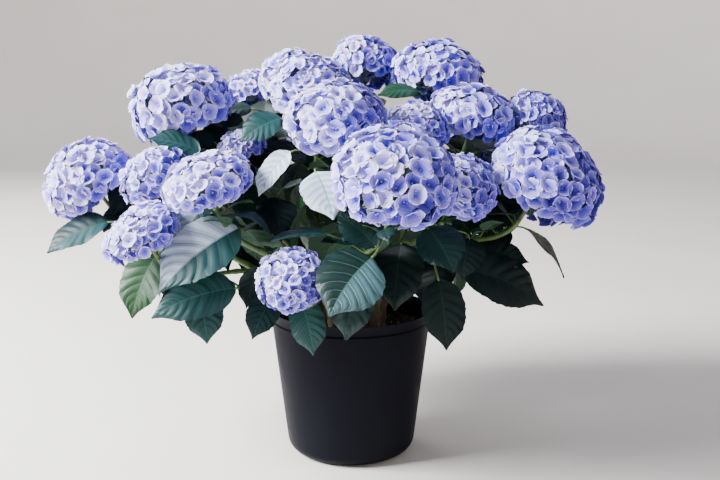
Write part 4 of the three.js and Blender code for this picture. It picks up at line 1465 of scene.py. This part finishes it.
def leaf_finish(name, colour, roughness, shine):
    """Leaf skin: smooth to half matte, with the fine net of the smallest veins as relief."""
    finish, tree, shader = new_finish(name, colour, roughness)
    shader.inputs["Specular IOR Level"].default_value = shine
    net = pattern(tree, "ShaderNodeTexVoronoi", Scale=330.0)
    net.feature = "DISTANCE_TO_EDGE"
    mottle = pattern(tree, "ShaderNodeTexNoise", Scale=60.0, Detail=4.0)
    uneven = spread_over(tree, mottle.outputs["Fac"], roughness - 0.07, roughness + 0.1)
    tree.links.new(uneven, shader.inputs["Roughness"])
    add_bump(tree, shader, spread_over(tree, net.outputs["Distance"], 0, 1, 0.0, 0.25), 0.00015, 0.6)
    add_bump(tree, shader, mottle.outputs["Fac"], 0.0007, 0.3)
    return finish


leaf_finishes = {}
for look, colours in LEAF_LOOKS.items():
    shine = SHADED_SHINE.get(look, LEAF_SHINE)
    for zone, colour in zip(LEAF_ZONES, colours, strict=True):
        name = f"{look} {zone}"
        leaf_finishes[name] = leaf_finish("leaf " + name, colour, LEAF_ROUGHNESS, shine)
UNDERSIDES = {"underside": ((0.030, 0.068, 0.042), 0.65), "underside vein": ((0.065, 0.12, 0.07), 0.6)}
for name, (colour, roughness) in UNDERSIDES.items():
    leaf_finishes[name] = leaf_finish("leaf " + name, colour, roughness, UNDERSIDE_SHINE)
print(len(leaf_finishes), "leaf finishes")


# %% Deal out the looks and grow the blades
def grid_faces(rows, columns, start, flipped):
    """Faces of a grid of corners, row by row."""
    faces = []
    for r in range(rows - 1):
        for c in range(columns - 1):
            a = start + r * columns + c
            face = (a + 1, a + columns + 1, a + columns, a)
            faces.append((a + 1, a, a + columns, a + columns + 1) if flipped else face)
    return faces


def face_zone(row, column):
    """The zone of a face of the blade's top: midrib, side vein, or the skin between them."""
    if column == (len(COLUMNS) - 1) // 2:
        return "vein"
    spot = row % len(CELL_ROWS)
    if spot == 0 and row > 0:
        return "vein"
    # Valley faces take the darker colour, painted shade in the hollows of the quilting.
    return "crest" if spot == 2 else "valley"


def add_blade(bunch, leaf, cells, draw):
    """One blade. Its two halves may differ in look, painted lighter or darker for the light each catches.
    """
    top, below = leaf_sheets(leaf, cells, draw)
    rows, columns = top.shape[:2]
    zones = [face_zone(r, c) for r in range(rows - 1) for c in range(columns - 1)]
    halves = leaf.look.split("+") * 2
    looks = [halves[c > columns // 2 - 1] for _ in range(rows - 1) for c in range(columns - 1)]
    names = [f"{look} {zone}" for look, zone in zip(looks, zones, strict=True)]
    bunch.add(top, grid_faces(rows, columns, 0, True), names)
    backs = ["underside vein" if zone == "vein" else "underside" for zone in zones]
    bunch.add(below, grid_faces(rows, columns, 0, False), backs)


# Painted shade: the lower a leaf stands, the darker the look that it is dealt.
LEAF_SHADE_HEIGHT = 350
LEAF_SHADE_SPREAD = 900
LOOK_LIMITS = {"dark": 0.3, "deep": 0.62, "teal": 0.82, "green": 1.0}


def dealt_look(leaf, draw):
    """Leaves low in the plant are painted darkest as shade, higher ones greener, and a few are bright."""
    share = draw() + (leaf.foot[2] - LEAF_SHADE_HEIGHT) / LEAF_SHADE_SPREAD
    for look, limit in LOOK_LIMITS.items():
        if share < limit:
            return look
    return "bright"


LEAF_CELLS = 8
draw = seeded(6007)
leaf_bunches = {}
for stem in stems:
    bunch = leaf_bunches[stem.name] = Bunch()
    for leaf in stem.leaves:
        leaf.look = leaf.look or dealt_look(leaf, draw)
        add_blade(bunch, leaf, LEAF_CELLS, draw)
print("blades:", sum(len(bunch.faces) for bunch in leaf_bunches.values()), "faces")

# %% [markdown]
# In the angle between a leaf and its shoot sits the next generation: a short sprig with a pair
# of young leaves. They fill the heart of the plant, where the photo shows only depth. A sprig
# that would come out of a bloom or reach the pot is left off. A few larger leaves hang in the
# shade behind the blooms, where the photo is dark between them.

# %% Young leaves in the leaf angles
SPRIG_SHARE = 0.65
SPRIG_CELLS = 5
SPRIG_WIDTH_SHARE = 0.56
SPRIG_SIZES = (26, 54)
SPRIG_TURNS = (25, 70)
SPRIG_PITCHES = (15, 50)
SPRIG_BENDS = (25, 60)
SPRIG_ROLLS = (-25, 25)
SPRIG_OUTWARD = 0.8
SPRIG_PETIOLE_SHARE = 0.35
SPRIG_BRIGHT = 0.25
SPRIG_GREEN = 0.5
SPRIG_LOWEST = POT_HEIGHT + 12
BLOOM_MARGIN = 2

# Blade foot, tip, width share, roll and look, as for the leaves that the photo shows.
# All five take the dark look, painted shade.
SHADED_LEAVES = [
    ((222, 30, 430), (240, -15, 345), 0.75, 10, "dark"),
    ((196, 12, 402), (206, -30, 332), 0.85, 10, "dark"),
    ((-140, 160, 535), (-150, 115, 420), 0.8, 10, "dark"),
    ((-195, 165, 515), (-202, 125, 445), 0.85, -10, "dark"),
    ((-322, 50, 412), (-362, 2, 368), 0.75, -30, "dark"),
]


def in_bloom(point):
    """True if a point is inside any bloom."""
    for bloom in blooms:
        away = point - bloom.centre
        along = away @ bloom.axis
        across = math.sqrt(max(away @ away - along * along, 0))
        height = bloom.radius * bloom.flatness + BLOOM_MARGIN
        if math.hypot(across / (bloom.radius + BLOOM_MARGIN), along / height) < 1:
            return True
    return False


def young_leaves(leaf, draw):
    """The pair of small leaves in the angle above a leaf."""
    size = draw(*SPRIG_SIZES)
    for side in (1, -1):
        azimuth = leaf.azimuth + side * draw(*SPRIG_TURNS)
        direction = unit(heading(azimuth) * SPRIG_OUTWARD + UP)
        foot = leaf.root + direction * size * SPRIG_PETIOLE_SHARE
        pitch, bend, roll = draw(*SPRIG_PITCHES), draw(*SPRIG_BENDS), draw(*SPRIG_ROLLS)
        young = Leaf(leaf.root, foot, azimuth, pitch, size, bend, roll, SPRIG_WIDTH_SHARE)
        spots = young.frame(np.array((0.5, 1.0)))[0]
        if any(in_bloom(spot) or spot[2] < SPRIG_LOWEST for spot in spots):
            continue
        young.look = "bright" if draw() < SPRIG_BRIGHT else "green" if draw() < SPRIG_GREEN else "deep"
        yield young


draw = seeded(7919)
young_count = 0
for stem in stems:
    for leaf in stem.leaves:
        if draw() > SPRIG_SHARE:
            continue
        for young in young_leaves(leaf, draw):
            add_blade(leaf_bunches[stem.name], young, SPRIG_CELLS, draw)
            add_petiole(stem_bunches[stem.name], young)
            young_count += 1
for row in SHADED_LEAVES:
    stem, leaf = seen_leaf(*row)
    add_blade(leaf_bunches[stem.name], leaf, SPRIG_CELLS, draw)
    add_petiole(stem_bunches[stem.name], leaf)

for stem in stems:
    node = "foliage_" + stem.name
    heads = ["bloom_" + bloom.name for bloom in stem.blooms]
    hand_in(*leaf_bunches[stem.name].piece("leaves_" + stem.name, leaf_finishes), "leaf", node)
    hand_in(*stem_bunches[stem.name].piece("stems_" + stem.name, stem_finishes), "leaf", node, *heads)
print(young_count, "young leaves and", len(SHADED_LEAVES), "shaded leaves added")
